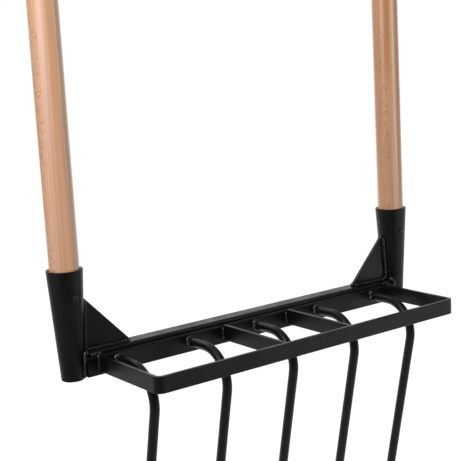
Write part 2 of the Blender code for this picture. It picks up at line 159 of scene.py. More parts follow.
def new_group(kind, name, inputs, outputs):
    """A node group whose inputs are given as {name: value} and its outputs as {name: kind}."""
    tree = bpy.data.node_groups.new(name, kind)
    for label, value in inputs.items():
        made = tree.interface.new_socket(label, in_out="INPUT", socket_type=socket_kind(value))
        if not isinstance(value, str):
            made.default_value = value
    for label, output_kind in outputs.items():
        tree.interface.new_socket(label, in_out="OUTPUT", socket_type=output_kind)
    given = tree.nodes.new("NodeGroupInput").outputs
    result = tree.nodes.new("NodeGroupOutput")
    result.location = (4000, 0)
    return tree, given, result


def new_effect(name, values, results):
    """A shader group from a place and some values to one or more numbers."""
    inputs = {"Vector": "NodeSocketVector", **values}
    outputs = {label: "NodeSocketFloat" for label in results}
    return new_group("ShaderNodeTree", name, inputs, outputs)


print("a number gets a socket of kind", socket_kind(0.5))

# %% [markdown]
# ## Shared effects
# Paint never lies dead flat. It keeps a fine orange peel from the spray gun and shows the slow
# waves of the rolled bar under it. Both are noise at two scales. They could be real displacement,
# but at a fraction of a millimetre nobody sees them in the outline, so both go to a bump.

# %% Group: film of sprayed paint
PEEL_SCALE = 900.0
WAVE_SCALE = 70.0
PATCH_SCALE = 26.0


def paint_film():
    """Height and roughness of a sprayed film: fine peel over slow waves, and dull patches."""
    values = {"Peel": 0.5, "Waves": 0.5, "Dullness": 0.4}
    tree, given, result = new_effect("paint_film", values, ["Height", "Roughness"])
    peel = calc(tree, "*", noisy(tree, given["Vector"], PEEL_SCALE, 2.0), given["Peel"])
    waves = calc(tree, "*", noisy(tree, given["Vector"], WAVE_SCALE, 3.0), given["Waves"])
    matt = spread(tree, noisy(tree, given["Vector"], PATCH_SCALE, 4.0), 0.35, 0.65, -0.05, 0.06)
    rough = calc(tree, "+", given["Dullness"], matt, clamp=True)
    feed(tree, result, {"Height": calc(tree, "+", peel, waves), "Roughness": rough})
    return tree


film_group = paint_film()
print("paint film group:", len(film_group.nodes), "nodes")

# %% [markdown]
# Paint is thinnest on sharp edges and is knocked there first. The edges could be painted by hand
# on the mesh, but a Bevel node finds them on any piece: it returns the normal that a rounded edge
# would have, and where that differs from the true normal there is an edge. Noise breaks the band
# into worn spots. The mask only brightens: it adds no shape.

# %% Group: rubbed edges
GRIT_SCALE = 240.0
NUMBER_RESULTS = ("LENGTH", "DISTANCE", "DOT_PRODUCT")


def vector_calc(tree, operation, first, second=(0.0, 0.0, 0.0)):
    """A Vector Math node's result: a number for a length, a distance or a dot product."""
    made = node(tree, "ShaderNodeVectorMath", {0: first, 1: second}, operation=operation)
    return made.outputs["Value" if operation in NUMBER_RESULTS else "Vector"]


def rubbed_edges():
    """Mask of the edges where the finish is thin."""
    values = {"Width": 1.0 * MM, "Amount": 0.5}
    tree, given, result = new_effect("rubbed_edges", values, ["Mask"])
    eased = node(tree, "ShaderNodeBevel", {"Radius": given["Width"]}, samples=4).outputs["Normal"]
    true = node(tree, "ShaderNodeNewGeometry").outputs["Normal"]
    edge = spread(tree, vector_calc(tree, "DOT_PRODUCT", eased, true), 0.99, 0.86)
    spots = spread(tree, noisy(tree, given["Vector"], GRIT_SCALE, 5.0), 0.45, 0.62)
    worn = calc(tree, "*", edge, spots)
    feed(tree, result, {"Mask": calc(tree, "*", worn, given["Amount"], clamp=True)})
    return tree


edge_group = rubbed_edges()
print("rubbed edge group:", len(edge_group.nodes), "nodes")

# %% [markdown]
# Hands, packing paper and other tools leave faint marks on varnish and on paint alike: short
# hairline scratches, turned every way, and soft smears. A picture of scratches would repeat and
# need a layout on every piece. Two stretched noises crossed over each other need neither.

# %% Group: handling marks
HAIRLINE_TURNS = ((0.3, 0.9, 0.4), (-0.7, 0.2, 1.3))
HAIRLINE_STRETCH = (900.0, 40.0, 60.0)
SMEAR_SCALE = 11.0


def stretched(tree, place, scale, turn=(0.0, 0.0, 0.0), moved=(0.0, 0.0, 0.0)):
    """A place scaled along each axis, so that noise of scale 1 is drawn out along one of them."""
    feeds = {"Vector": place, "Scale": scale, "Rotation": turn, "Location": moved}
    return node(tree, "ShaderNodeMapping", feeds).outputs[0]


def handling_marks():
    """Faint hairlines and smears, as a height and as a change of roughness."""
    results = ["Height", "Roughness"]
    tree, given, result = new_effect("handling_marks", {"Amount": 0.5}, results)
    lines = []
    for turn in HAIRLINE_TURNS:
        laid = stretched(tree, given["Vector"], HAIRLINE_STRETCH, turn)
        lines.append(spread(tree, noisy(tree, laid, 1.0, 1.0), 0.68, 0.74))
    hairlines = calc(tree, "MAXIMUM", lines[0], lines[1])
    smears = noisy(tree, given["Vector"], SMEAR_SCALE, 5.0)
    dull = spread(tree, smears, 0.40, 0.70, 0.0, 0.12)
    depth = calc(tree, "*", calc(tree, "*", hairlines, given["Amount"]), -1.0)
    rough = calc(tree, "+", dull, calc(tree, "*", hairlines, 0.15))
    feed(tree, result, {"Height": depth, "Roughness": calc(tree, "*", rough, given["Amount"])})
    return tree


marks_group = handling_marks()
print("handling marks group:", len(marks_group.nodes), "nodes")

# %% [markdown]
# ## Black enamel
# All the steel is dipped or sprayed in the same black. One material could serve every piece, but
# each kind of surface takes the paint in its own way: flat bar shows more waves, a weld is
# smoother and shinier, and a screw is rubbed bare on its edges. So one function makes the enamel
# from a few values. It places the three groups and keeps the shader itself, because gloss
# belongs to the shader.


# %% Helpers: materials
def new_material(name):
    """A material with its tree and its shader."""
    made = bpy.data.materials.new(name)
    made.use_nodes = True
    return made, made.node_tree, made.node_tree.nodes["Principled BSDF"]


def use(tree, group, feeds):
    """The outputs of a group placed in a material."""
    return node(tree, "ShaderNodeGroup", feeds, node_tree=group).outputs


def blend(tree, share, first, second):
    """A colour between two colours. Inputs 6 and 7 and output 2 are the ones for colours."""
    feeds = {0: share, 6: first, 7: second}
    return node(tree, "ShaderNodeMix", feeds, data_type="RGBA").outputs[2]


print("groups to place:", [group.name for group in (film_group, edge_group, marks_group)])

# %% [markdown]
# The enamel is black with a faint cloudiness, and a little paler where an edge is rubbed. Its
# relief stays a bump, because a film of paint is thinner than anything the mesh could show.

# %% Material: black enamel
ENAMEL_DEEP = (0.0020, 0.0020, 0.0023, 1.0)
ENAMEL_CLOUDED = (0.0042, 0.0040, 0.0038, 1.0)
ENAMEL_WORN = (0.045, 0.043, 0.041, 1.0)
CLOUD_SCALE = 38.0
FILM_DEPTH = 0.12 * MM
ENAMEL_MARKS = 0.35


def black_enamel(name, dullness, mirror, peel, waves, edge_width, edge_amount, relief):
    """Satin black paint over steel."""
    made, tree, shader = new_material(name)
    place = node(tree, "ShaderNodeTexCoord").outputs["Object"]
    feeds = {"Vector": place, "Peel": peel, "Waves": waves, "Dullness": dullness}
    film = use(tree, film_group, feeds)
    edges = use(tree, edge_group, {"Vector": place, "Width": edge_width, "Amount": edge_amount})
    marks = use(tree, marks_group, {"Vector": place, "Amount": ENAMEL_MARKS})
    cloud = spread(tree, noisy(tree, place, CLOUD_SCALE, 6.0), 0.3, 0.7)
    paint = blend(tree, cloud, ENAMEL_DEEP, ENAMEL_CLOUDED)
    height = calc(tree, "+", film["Height"], marks["Height"])
    feeds = {"Strength": relief, "Distance": FILM_DEPTH, "Height": height}
    surface = {
        "Base Color": blend(tree, edges["Mask"], paint, ENAMEL_WORN),
        "Roughness": calc(tree, "+", film["Roughness"], marks["Roughness"], clamp=True),
        "Normal": node(tree, "ShaderNodeBump", feeds).outputs["Normal"],
        "Specular IOR Level": mirror,
    }
    feed(tree, shader, surface)
    return made


# The values are: dullness, mirror, peel, waves, edge width, edge amount, relief
enamel_bar = black_enamel("enamel_on_flat_bar", 0.34, 0.28, 0.45, 1.2, 0.9 * MM, 0.5, 0.80)
enamel_round = black_enamel("enamel_on_round_bar", 0.37, 0.25, 0.35, 0.5, 0.6 * MM, 0.3, 0.55)
enamel_weld = black_enamel("enamel_on_weld", 0.22, 0.70, 0.20, 0.8, 0.3 * MM, 0.1, 0.45)
enamel_screw = black_enamel("enamel_on_screw", 0.25, 0.70, 0.30, 0.3, 0.4 * MM, 0.9, 0.40)
print("enamels:", enamel_bar.name, enamel_round.name, enamel_weld.name, enamel_screw.name)

# %% [markdown]
# ## Varnished beech
# Steamed beech is a warm pinkish tan with a calm figure: faint growth rings, fine long fibres and
# the short brown flecks that give the timber away. A flat picture wrapped round the shaft would
# show a seam. So the pattern is a solid one, measured from a pith line far outside the handle:
# the rings run as long stripes down the shaft and as arcs over its rounded top, as they do when
# a dowel is turned from a plank.

# %% Group: growth rings and fibres
PITH = (0.21, 0.34, 0.0)
BEND_STRETCH = (9.0, 9.0, 1.6)
FIBRE_STRETCH = (1100.0, 1100.0, 16.0)


def wood_figure():
    """Growth rings round a far pith line and long fibres, each from 0 to 1."""
    values = {"Ring Width": 3.8 * MM, "Wander": 20.0 * MM}
    tree, given, result = new_effect("wood_figure", values, ["Rings", "Fibres"])
    bend = noisy(tree, stretched(tree, given["Vector"], BEND_STRETCH), 1.0, 2.0)
    push = calc(tree, "*", calc(tree, "-", bend, 0.5), given["Wander"])
    from_pith = stretched(tree, given["Vector"], (1.0, 1.0, 0.0), moved=PITH)
    far = calc(tree, "+", vector_calc(tree, "LENGTH", from_pith), push)
    saw = calc(tree, "FRACT", calc(tree, "/", far, given["Ring Width"]))
    rings = spread(tree, saw, 0.35, 1.0)
    fibres = noisy(tree, stretched(tree, given["Vector"], FIBRE_STRETCH), 1.0, 3.0)
    feed(tree, result, {"Rings": rings, "Fibres": spread(tree, fibres, 0.30, 0.70)})
    return tree


figure_group = wood_figure()
print("wood figure group:", len(figure_group.nodes), "nodes")

# %% [markdown]
# The flecks of beech are its rays, cut across: brown dashes a few millimetres long, crowded in
# some places and rare in others. They are the peaks of one fine noise, thinned by a broad one.

# %% Group: ray flecks
FLECK_STRETCH = (640.0, 640.0, 330.0)
CROWD_SCALE = 30.0


def beech_flecks():
    """Mask of the short brown ray flecks, denser in some areas."""
    tree, given, result = new_effect("beech_flecks", {"Amount": 1.0}, ["Mask"])
    specks = noisy(tree, stretched(tree, given["Vector"], FLECK_STRETCH), 1.0, 0.0)
    crowds = noisy(tree, given["Vector"], CROWD_SCALE, 2.0)
    dense = spread(tree, crowds, 0.38, 0.62, 0.35, 1.0)
    flecks = calc(tree, "*", spread(tree, specks, 0.60, 0.70), dense)
    feed(tree, result, {"Mask": calc(tree, "*", flecks, given["Amount"])})
    return tree


fleck_group = beech_flecks()
print("fleck group:", len(fleck_group.nodes), "nodes")

# %% [markdown]
# A streak in a turned handle keeps to one side of it. So this group compares the direction from
# the shaft's axis to a point with a given side, and fades out as the two turn apart. The same mask
# also places a painted highlight and some painted light on the handles.


# %% Group: one side of a shaft
def shaft_side():
    """Mask of the part of a shaft that faces one side, measured round the shaft's axis."""
    values = {"Axis X": 0.0, "Side": (0.0, -1.0, 0.0), "Outer": 0.9, "Inner": 1.0}
    tree, given, result = new_effect("shaft_side", values, ["Mask"])
    split = node(tree, "ShaderNodeSeparateXYZ", {0: given["Vector"]}).outputs
    feeds = {"X": calc(tree, "-", split["X"], given["Axis X"]), "Y": split["Y"]}
    across = node(tree, "ShaderNodeCombineXYZ", feeds).outputs[0]
    outward = vector_calc(tree, "NORMALIZE", across)
    turned_to = vector_calc(tree, "DOT_PRODUCT", outward, given["Side"])
    feed(tree, result, {"Mask": spread(tree, turned_to, given["Outer"], given["Inner"])})
    return tree


side_group = shaft_side()
print("shaft side group:", len(side_group.nodes), "nodes")

# %% [markdown]
# Streaks, rings, fibres and flecks are laid over the ground colour like glazes, one layer after
# the other, each with its own mask and strength. Two layers are light painted into the colour: a
# pale stripe is a painted highlight, and the warm streak also paints extra light on the front. The
# varnish is a clear coat over the wood: it gives the long soft highlight while the wood under it
# stays dull.

# %% Material: varnished beech
HEARTWOOD = (0.480, 0.175, 0.046, 1.0)
# Warm tone that also paints extra light on the front of the left handle
WARM_STREAK_AND_LIGHT = (0.760, 0.380, 0.190, 1.0)
# Colour of a painted highlight: a pale stripe that stands for a lamp's reflection
PAINTED_HIGHLIGHT_STRIPE = (0.700, 0.450, 0.270, 1.0)
LATE_WOOD = (0.450, 0.215, 0.112, 1.0)
PALE_FIBRE = (0.700, 0.430, 0.290, 1.0)
BROWN_FLECK = (0.330, 0.140, 0.065, 1.0)
DRIFT_STRETCH = (40.0, 40.0, 2.5)
HEART_FADES = (0.27, 0.33)
FEW_FLECKS = 0.06
GRAIN_DEPTH = 0.08 * MM
GRAIN_STRENGTH = 0.35
WOOD_DULLNESS = 0.40
WOOD_MARKS = 0.5
VARNISH = {"Coat Weight": 1.0, "Coat Roughness": 0.25}


def towards(degrees):
    """A level direction, turned from the front to the left by an angle."""
    return (-math.sin(math.radians(degrees)), -math.cos(math.radians(degrees)), 0.0)


def varnished_beech(name, axis_x, pale, brown, heartwood_and_highlight, warmth_and_light, flecked, mirror):
    """Steamed beech under a thin satin varnish."""
    made, tree, shader = new_material(name)
    place = node(tree, "ShaderNodeTexCoord").outputs["Object"]

    def on_side(degrees, outer, inner):
        """Mask of the shaft's side in one direction."""
        side = {"Side": towards(degrees), "Outer": outer, "Inner": inner}
        return use(tree, side_group, {"Vector": place, "Axis X": axis_x, **side})["Mask"]

    drift = noisy(tree, stretched(tree, place, DRIFT_STRETCH), 1.0, 3.0)
    height_up = node(tree, "ShaderNodeSeparateXYZ", {0: place}).outputs["Z"]
    upper = spread(tree, height_up, *HEART_FADES, 0.25 * heartwood_and_highlight, heartwood_and_highlight)
    patchy = calc(tree, "*", upper, spread(tree, drift, 0.35, 0.62, 0.6, 1.0))
    figure = use(tree, figure_group, {"Vector": place})
    amount = calc(tree, "+", on_side(flecked, 0.91, 0.975), FEW_FLECKS, clamp=True)
    flecks = use(tree, fleck_group, {"Vector": place, "Amount": amount})["Mask"]
    layers = (
        (on_side(35, 0.94, 0.985), patchy, HEARTWOOD),
        # Partly painted light: a warmer tone that also brightens the front of the shaft
        (on_side(-2, 0.85, 0.96), warmth_and_light, WARM_STREAK_AND_LIGHT),
        # Painted highlight: a pale stripe on the front that stands for a lamp's reflection
        (on_side(12, 0.96, 0.995), 0.7 * heartwood_and_highlight, PAINTED_HIGHLIGHT_STRIPE),
        (figure["Rings"], 0.45, LATE_WOOD),
        (figure["Fibres"], 0.22, PALE_FIBRE),
        (flecks, 0.80, BROWN_FLECK),
    )
    colour = blend(tree, spread(tree, drift, 0.30, 0.70), pale, brown)
    for mask, strength, tint in layers:
        colour = blend(tree, calc(tree, "*", mask, strength), colour, tint)
    grain = calc(tree, "*", figure["Fibres"], 0.35)
    height = calc(tree, "+", grain, calc(tree, "*", flecks, -0.5))
    marks = use(tree, marks_group, {"Vector": place, "Amount": WOOD_MARKS})
    feeds = {"Strength": GRAIN_STRENGTH, "Distance": GRAIN_DEPTH, "Height": height}
    surface = {
        "Base Color": colour,
        "Roughness": calc(tree, "+", WOOD_DULLNESS, marks["Roughness"], clamp=True),
        "Normal": node(tree, "ShaderNodeBump", feeds).outputs["Normal"],
        "Specular IOR Level": mirror,
    }
    feed(tree, shader, {**surface, **VARNISH})
    return made


print("the heartwood streak faces", [round(part, 2) for part in towards(35)])

# %% [markdown]
# The two handles come from different boards. The left one is pale and pink, with a row of flecks
# down one side and a warmer streak down its front; that streak is partly its own tone and partly
# painted light, which brightens the side facing the front. The right one is browner: the upper
# part of its front has an orange streak of heartwood, with a painted highlight beside it, a pale
# stripe that stands for a lamp's reflection.

# %% Choose the two boards
boards = {
    "left": varnished_beech(
        "pale_beech",
        axis_x=-socket_x,
        pale=(0.680, 0.385, 0.238, 1.0),
        brown=(0.630, 0.330, 0.188, 1.0),
        heartwood_and_highlight=0.0,
        warmth_and_light=0.8,
        flecked=72,
        mirror=1.0,
    ),
    "right": varnished_beech(
        "brown_beech",
        axis_x=socket_x,
        pale=(0.615, 0.322, 0.174, 1.0),
        brown=(0.565, 0.275, 0.130, 1.0),
        heartwood_and_highlight=1.0,
        warmth_and_light=0.0,
        flecked=59,
        mirror=0.5,
    ),
}
print("boards:", [board.name for board in boards.values()])

# %% [markdown]
# ## Turning shapes into pieces
# Every finished piece keeps its object at the origin with its place in its mesh. A Weighted
# Normal modifier keeps flat faces flat to the light right up to their small rounded edges. Then
# each piece is parented to the body's empty, and the imported nodes it stands for are hidden.

# %% Helpers: from a shape to a piece
BODY = "root"
SHARP_ANGLE = math.radians(50)


def new_object(name, data):
    """An object with its data, linked to the scene."""
    made = bpy.data.objects.new(name, data)
    bpy.context.scene.collection.objects.link(made)
    return made


def finish_piece(name, mesh):
    """Makes a piece of a mesh, smooth shaded, with its flats kept flat."""
    mesh.shade_smooth()
    mesh.set_sharp_from_angle(angle=SHARP_ANGLE)
    piece = new_object(name, mesh)
    piece.modifiers.new("flat_faces", "WEIGHTED_NORMAL").keep_sharp = True
    return piece


def piece_from(name, shape, finish, place=(0.0, 0.0, 0.0)):
    """Makes a piece of a bmesh, moved to its place."""
    bmesh.ops.remove_doubles(shape, verts=shape.verts, dist=1e-7)
    bmesh.ops.recalc_face_normals(shape, faces=shape.faces)
    bmesh.ops.translate(shape, verts=shape.verts, vec=place)
    mesh = bpy.data.meshes.new(name)
    shape.to_mesh(mesh)
    shape.free()
    mesh.materials.append(finish)
    return finish_piece(name, mesh)


def dress(piece, slot, *nodes):
    """Parents a finished piece to the body and hides the imported nodes it stands for."""
    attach(piece, BODY)
    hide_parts(*nodes)


print("edges sharper than", round(math.degrees(SHARP_ANGLE)), "degrees stay sharp")

# %% [markdown]
# Round pieces are turned, as on a lathe: a profile of radius and height is spun about an axis.
# A primitive cylinder has no profile to shape, and a spin gives a dome, a taper and an eased rim
# all at once.

# %% Helpers: turned shapes
ROUND_SIDES = 96


def turned(profile, sides=ROUND_SIDES, ring=False):
    """Spins a profile of (radius, z) points about Z. A ring's profile closes on itself."""
    shape = bmesh.new()
    points = [shape.verts.new((radius, 0.0, z)) for radius, z in profile]
    following = points[1:] + points[:1] if ring else points[1:]
    edges = [shape.edges.new(pair) for pair in zip(points, following)]
    round_z = {"cent": (0, 0, 0), "axis": (0, 0, 1), "angle": 2 * math.pi, "steps": sides}
    bmesh.ops.spin(shape, geom=points + edges, use_merge=True, **round_z)
    return shape


def arc(centre, radius, start, end, steps):
    """Points (u, v) along an arc, angles in degrees."""
    points = []
    for i in range(steps + 1):
        angle = math.radians(start + (end - start) * i / steps)
        points.append((centre[0] + radius * math.cos(angle), centre[1] + radius * math.sin(angle)))
    return points


print("a turned piece has", ROUND_SIDES, "sides")

# %% [markdown]
# ## Handles
# A handle is turned from a beech plank: straight down to the socket, then tapered to sit in the
# cone, with a rounded top end. Turned wood moves as it dries, so its radius wanders by about a
# tenth of a millimetre, which is what breaks up the long highlight on a real shaft. A Displace
# modifier could do that too, but a loop over the vertices can leave the tight taper alone.

# %% Turn the handles
SOCKET_WALL = 3.0 * MM
HANDLE_DOME = 11.0 * MM
DOME_STEPS = 12
HANDLE_STEP = 16.0 * MM
HANDLE_FOOT_EDGE = 1.5 * MM
WANDER = 0.12 * MM
WANDER_ACROSS = 30
WANDER_ALONG = 7
WANDER_REST = 0.6
handle_low, handle_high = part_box("right_handle")
handle_radius = (handle_high.x - handle_low.x) / 2
socket_fit = SOCKET_WALL + 0.4 * MM
flare = socket_top_radius - SOCKET_BOTTOM_RADIUS
shoulder_share = (handle_radius + socket_fit - SOCKET_BOTTOM_RADIUS) / flare
shoulder_z = socket_low.z + shoulder_share * (socket_high.z - socket_low.z)


def handle_profile():
    """From the foot in the socket up to the rounded top."""
    foot_z = handle_low.z
    foot = cone_radius(foot_z) - socket_fit
    profile = [(0.0, foot_z), (foot - HANDLE_FOOT_EDGE, foot_z), (foot, foot_z + HANDLE_FOOT_EDGE)]
    profile.append((handle_radius, shoulder_z))
    dome_z = handle_high.z - HANDLE_DOME
    steps = int((dome_z - shoulder_z) / HANDLE_STEP)
    for i in range(1, steps + 1):
        profile.append((handle_radius, shoulder_z + (dome_z - shoulder_z) * i / steps))
    profile += arc((handle_radius - HANDLE_DOME, dome_z), HANDLE_DOME, 0, 90, DOME_STEPS)[1:]
    profile.append((0.0, handle_high.z))
    return profile


def handle_shape(seed):
    """A turned shaft with a slight wander of its radius above the socket."""
    shape = turned(handle_profile())
    for vert in shape.verts:
        if vert.co.z > shoulder_z + HANDLE_STEP:
            x, y, z = vert.co
            share = min(vert.co.xy.length / handle_radius, 1)
            spot = Vector((x * WANDER_ACROSS, y * WANDER_ACROSS, z * WANDER_ALONG + seed))
            change = WANDER * (noise.noise(spot) - WANDER_REST) / handle_radius
            vert.co.x += x * change * share
            vert.co.y += y * change * share
    return shape


for side, hand in HANDS:
    place = (side * socket_x, socket_y, 0.0)
    handle = piece_from(f"{hand}_beech_handle", handle_shape(side * 3.0), boards[hand], place)
    dress(handle, "beech_wood", f"{hand}_handle")
    print(handle.name, "has", len(handle.data.polygons), "faces")

# %% [markdown]
# ## Sockets
# Each socket is a cone rolled from 3 mm plate. Its rims are eased, so the profile rounds over
# at both ends, and the paint runs down inside to where the wood fills it. A Solidify modifier
# could give a cone its wall, but a closed profile gives the wall and the rims in one spin.

# %% Turn the sockets
RIM = 0.8 * MM
RIM_TURN = 70
RIM_STEPS = 4
SOCKET_STEPS = 6


def socket_profile():
    """Closed profile of the cone's wall with eased rims."""
    top, low = socket_high.z, socket_low.z
    outer_top, outer_low = socket_top_radius, SOCKET_BOTTOM_RADIUS
    profile = []
    for i in range(SOCKET_STEPS + 1):
        radius = outer_low + (outer_top - outer_low) * i / SOCKET_STEPS
        profile.append((radius, low + RIM + (top - low - 2 * RIM) * i / SOCKET_STEPS))
    rims = (
        (outer_top - RIM, top - RIM, 20),
        (outer_top - SOCKET_WALL + RIM, top - RIM, 90),
        (outer_low - SOCKET_WALL + RIM, low + RIM, 200),
        (outer_low - RIM, low + RIM, 270),
    )
    for radius, z, start in rims:
        profile += arc((radius, z), RIM, start, start + RIM_TURN, RIM_STEPS)
    return profile


for side, hand in HANDS:
    place = (side * socket_x, socket_y, 0.0)
    cone = turned(socket_profile(), ring=True)
    socket = piece_from(f"{hand}_rolled_socket", cone, enamel_round, place)
    dress(socket, "black_steel", f"{hand}_socket")
    print(socket.name, "is", round((socket_high.z - socket_low.z) / MM, 1), "mm tall")

# %% [markdown]
# ## Crossbar
# The crossbar is square tube whose ends are coped, which means cut to the curve of the socket
# they meet. A Boolean could cut them, but a cut by a cone has a formula: at each point of the
# square outline, the tube ends where the cone's surface is. So the end rings are placed by that
# formula, which leaves clean faces and needs no cutter.

# %% Measure the cope
GAP = 0.3 * MM
tube_low, tube_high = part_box("crossbar_tube")
tube_size = tube_high.z - tube_low.z
tube_middle_z = (tube_high.z + tube_low.z) / 2


def cope_x(y, z):
    """Where the tube ends at a point of its outline, on the socket's cone."""
    reach = cone_radius(z) + GAP
    across = min(abs(y - socket_y), reach)
    return socket_x - math.sqrt(reach * reach - across * across)


print("crossbar is", round(2 * cope_x(0, tube_middle_z) / MM, 1), "mm long at mid height")

# %% [markdown]
# The tube has an outer and an inner skin. Both are rings of points set along the bar, and faces
# join each ring to the next, out to one end, back through the inside and round again.

# %% Draw the coped crossbar
TUBE_WALL = 2.0 * MM
TUBE_CORNER = 4.0 * MM
RING_SHARES = [-1.0, -0.8, -0.4, 0.0, 0.4, 0.8, 1.0]


def rounded_square(size, corner, arc_steps=8, flat_steps=8):
    """Outline (y, z) of a square with round corners and extra points along its flats."""
    inset = size / 2 - corner
    outline = []
    for k, (u, v) in enumerate(((1, 1), (-1, 1), (-1, -1), (1, -1))):
        bend = arc((u * inset, v * inset), corner, 90 * k, 90 * k + 90, arc_steps)
        outline += bend
        onward = math.radians(90 * k + 90)
        along = Vector((-math.sin(onward), math.cos(onward)))
        for i in range(1, flat_steps):
            outline.append(tuple(Vector(bend[-1]) + along * (2 * inset * i / flat_steps)))
    return outline


def crossbar_shape():
    """Outer and inner skins from one coped end to the other, joined at the ends."""
    outer = rounded_square(tube_size, TUBE_CORNER)
    inner = rounded_square(tube_size - 2 * TUBE_WALL, TUBE_CORNER - TUBE_WALL)
    shape = bmesh.new()
    rings = []
    for outline, shares in ((outer, RING_SHARES), (inner, RING_SHARES[::-1])):
        raised = [(y, tube_middle_z + z) for y, z in outline]
        for share in shares:
            ring = [(share * cope_x(y, z), y, z) for y, z in raised]
            rings.append([shape.verts.new(point) for point in ring])
    for first, second in zip(rings, rings[1:] + rings[:1]):
        for i in range(len(first)):
            j = (i + 1) % len(first)
            shape.faces.new((first[i], first[j], second[j], second[i]))
    return shape


crossbar = piece_from("coped_crossbar", crossbar_shape(), enamel_bar)
dress(crossbar, "black_steel", "crossbar_tube")
print(crossbar.name, "has", len(crossbar.data.polygons), "faces")

# %% [markdown]
# ## Growing pieces along a path
# Bars, tines and weld beads all follow one rule: round the corners of a path, then sweep a
# section along it. Geometry Nodes suits a rule that repeats with other values. Each piece starts
# as a host, which is a mesh of bare edges. A modifier with a tree grows the piece on it, and the
# result is then kept as a plain mesh, so nothing has to be worked out again later.


# %% Helpers: grow a piece on a host
def host_path(name, points, closed=False):
    """A bare path of edges for Geometry Nodes to grow a piece on."""
    count = len(points)
    edges = [(i, (i + 1) % count) for i in range(count if closed else count - 1)]
    mesh = bpy.data.meshes.new(name)
    mesh.from_pydata(points, edges, [])
    return new_object(name, mesh)


def evaluated_mesh(thing):
    """A plain mesh of an object as its modifiers leave it."""
    bpy.context.view_layer.update()
    evaluated = thing.evaluated_get(bpy.context.evaluated_depsgraph_get())
    return bpy.data.meshes.new_from_object(evaluated)


def grow(name, host, tree, values):
    """Runs a Geometry Nodes tree on a host and returns the result as a plain mesh piece."""
    modifier = host.modifiers.new(tree.name, "NODES")
    modifier.node_group = tree
    for item in tree.interface.items_tree:
        if item.name in values:
            modifier[item.identifier] = values[item.name]
    mesh = evaluated_mesh(host)
    host.modifiers.remove(modifier)
    bpy.data.objects.remove(host, do_unlink=True)
    mesh.name = name
    return finish_piece(name, mesh)


# %% [markdown]
# The trees begin and end alike: the host's edges become a curve with round corners, a section is
# swept along it, and the result gets its finish. These steps are written once and shared.


# %% Helpers: round, sweep and hand out
def new_grower(name, values):
    """A Geometry Nodes tree that takes a host, some values and a finish."""
    inputs = {"Geometry": "NodeSocketGeometry", **values, "Finish": "NodeSocketMaterial"}
    return new_group("GeometryNodeTree", name, inputs, {"Geometry": "NodeSocketGeometry"})


def rounded(tree, curve, radius, steps):
    """A curve with its corners rounded."""
    feeds = {"Curve": curve, "Count": steps, "Radius": radius, "Limit Radius": True}
    return node(tree, "GeometryNodeFilletCurve", feeds, mode="POLY").outputs[0]


def rounded_host(tree, host, radius, steps):
    """The host's edges as a curve with rounded corners."""
    path = node(tree, "GeometryNodeMeshToCurve", {"Mesh": host})
    return rounded(tree, path.outputs[0], radius, steps)


def swept(tree, curve, section, scale):
    """A closed mesh from a section pushed along a curve."""
    feeds = {"Curve": curve, "Profile Curve": section, "Scale": scale, "Fill Caps": True}
    return node(tree, "GeometryNodeCurveToMesh", feeds).outputs[0]


def hand_out(tree, mesh, finish, result):
    """Makes instances real, sets the finish and gives the mesh to the tree's output."""
    solid = node(tree, "GeometryNodeRealizeInstances", {"Geometry": mesh}).outputs[0]
    feeds = {"Geometry": solid, "Material": finish}
    painted = node(tree, "GeometryNodeSetMaterial", feeds).outputs[0]
    feed(tree, result, {"Geometry": painted})


print("a grower ends with Realize Instances and Set Material")

# %% [markdown]
# ## Flat bar
# The plate, the struts and the hoop are all rolled flat bar, and the hoop is one length of it
# bent twice. Stretched cubes would do for the straight ones, but not for the hoop, so one tree
# makes them all. The section is a rectangle with its own corners rounded, kept upright by
# setting the curve's normal to Z before the sweep.

# %% Tree: flat bar along a path
BAR_BEND_STEPS = 10
BAR_EDGE_STEPS = 4


def flat_bar_tree():
    """Sweeps a rectangle with rolled edges along a path with bends."""
    values = {
        "Thickness": 5.0 * MM,
        "Height": 20.0 * MM,
        "Edge Radius": 0.7 * MM,
        "Bend Radius": 7.5 * MM,
    }
    tree, given, result = new_grower("flat_bar", values)
    bent = rounded_host(tree, given["Geometry"], given["Bend Radius"], BAR_BEND_STEPS)
    upright = node(tree, "GeometryNodeSetCurveNormal", {"Curve": bent}, mode="Z_UP").outputs[0]
    feeds = {"Width": given["Thickness"], "Height": given["Height"]}
    section = node(tree, "GeometryNodeCurvePrimitiveQuadrilateral", feeds).outputs[0]
    rolled = rounded(tree, section, given["Edge Radius"], BAR_EDGE_STEPS)
    feeds = {"Geometry": swept(tree, upright, rolled, 1.0), "Distance": 1e-6}
    joined = node(tree, "GeometryNodeMergeByDistance", feeds).outputs[0]
    hand_out(tree, joined, given["Finish"], result)
    return tree


flat_bar = flat_bar_tree()
print("flat bar tree:", len(flat_bar.nodes), "nodes")

# %% [markdown]
# Each path comes from the box of the piece it stands for, drawn through the middle of the bar.
# The plate is a heavier bar with rounder edges, and its upper one catches a long line of light.

# %% Bend the hoop and cut the struts and the plate
HOOP_BEND = 7.5 * MM
PLATE_EDGE = 1.8 * MM
plate_low, plate_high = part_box("back_plate")
hoop_low, hoop_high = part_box("hoop")
strut_low, strut_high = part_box("right_strut")
bar_thickness = strut_high.x - strut_low.x
bar_height = hoop_high.z - hoop_low.z
hoop_z = (hoop_low.z + hoop_high.z) / 2
hoop_half = hoop_high.x - bar_thickness / 2
hoop_front = hoop_low.y + bar_thickness / 2
strut_x = (strut_low.x + strut_high.x) / 2
plate_y = (plate_low.y + plate_high.y) / 2
plate_z = (plate_low.z + plate_high.z) / 2


def size_in_mm(piece):
    """A piece's measures, rounded for printing."""
    return [round(size / MM, 1) for size in piece.dimensions]


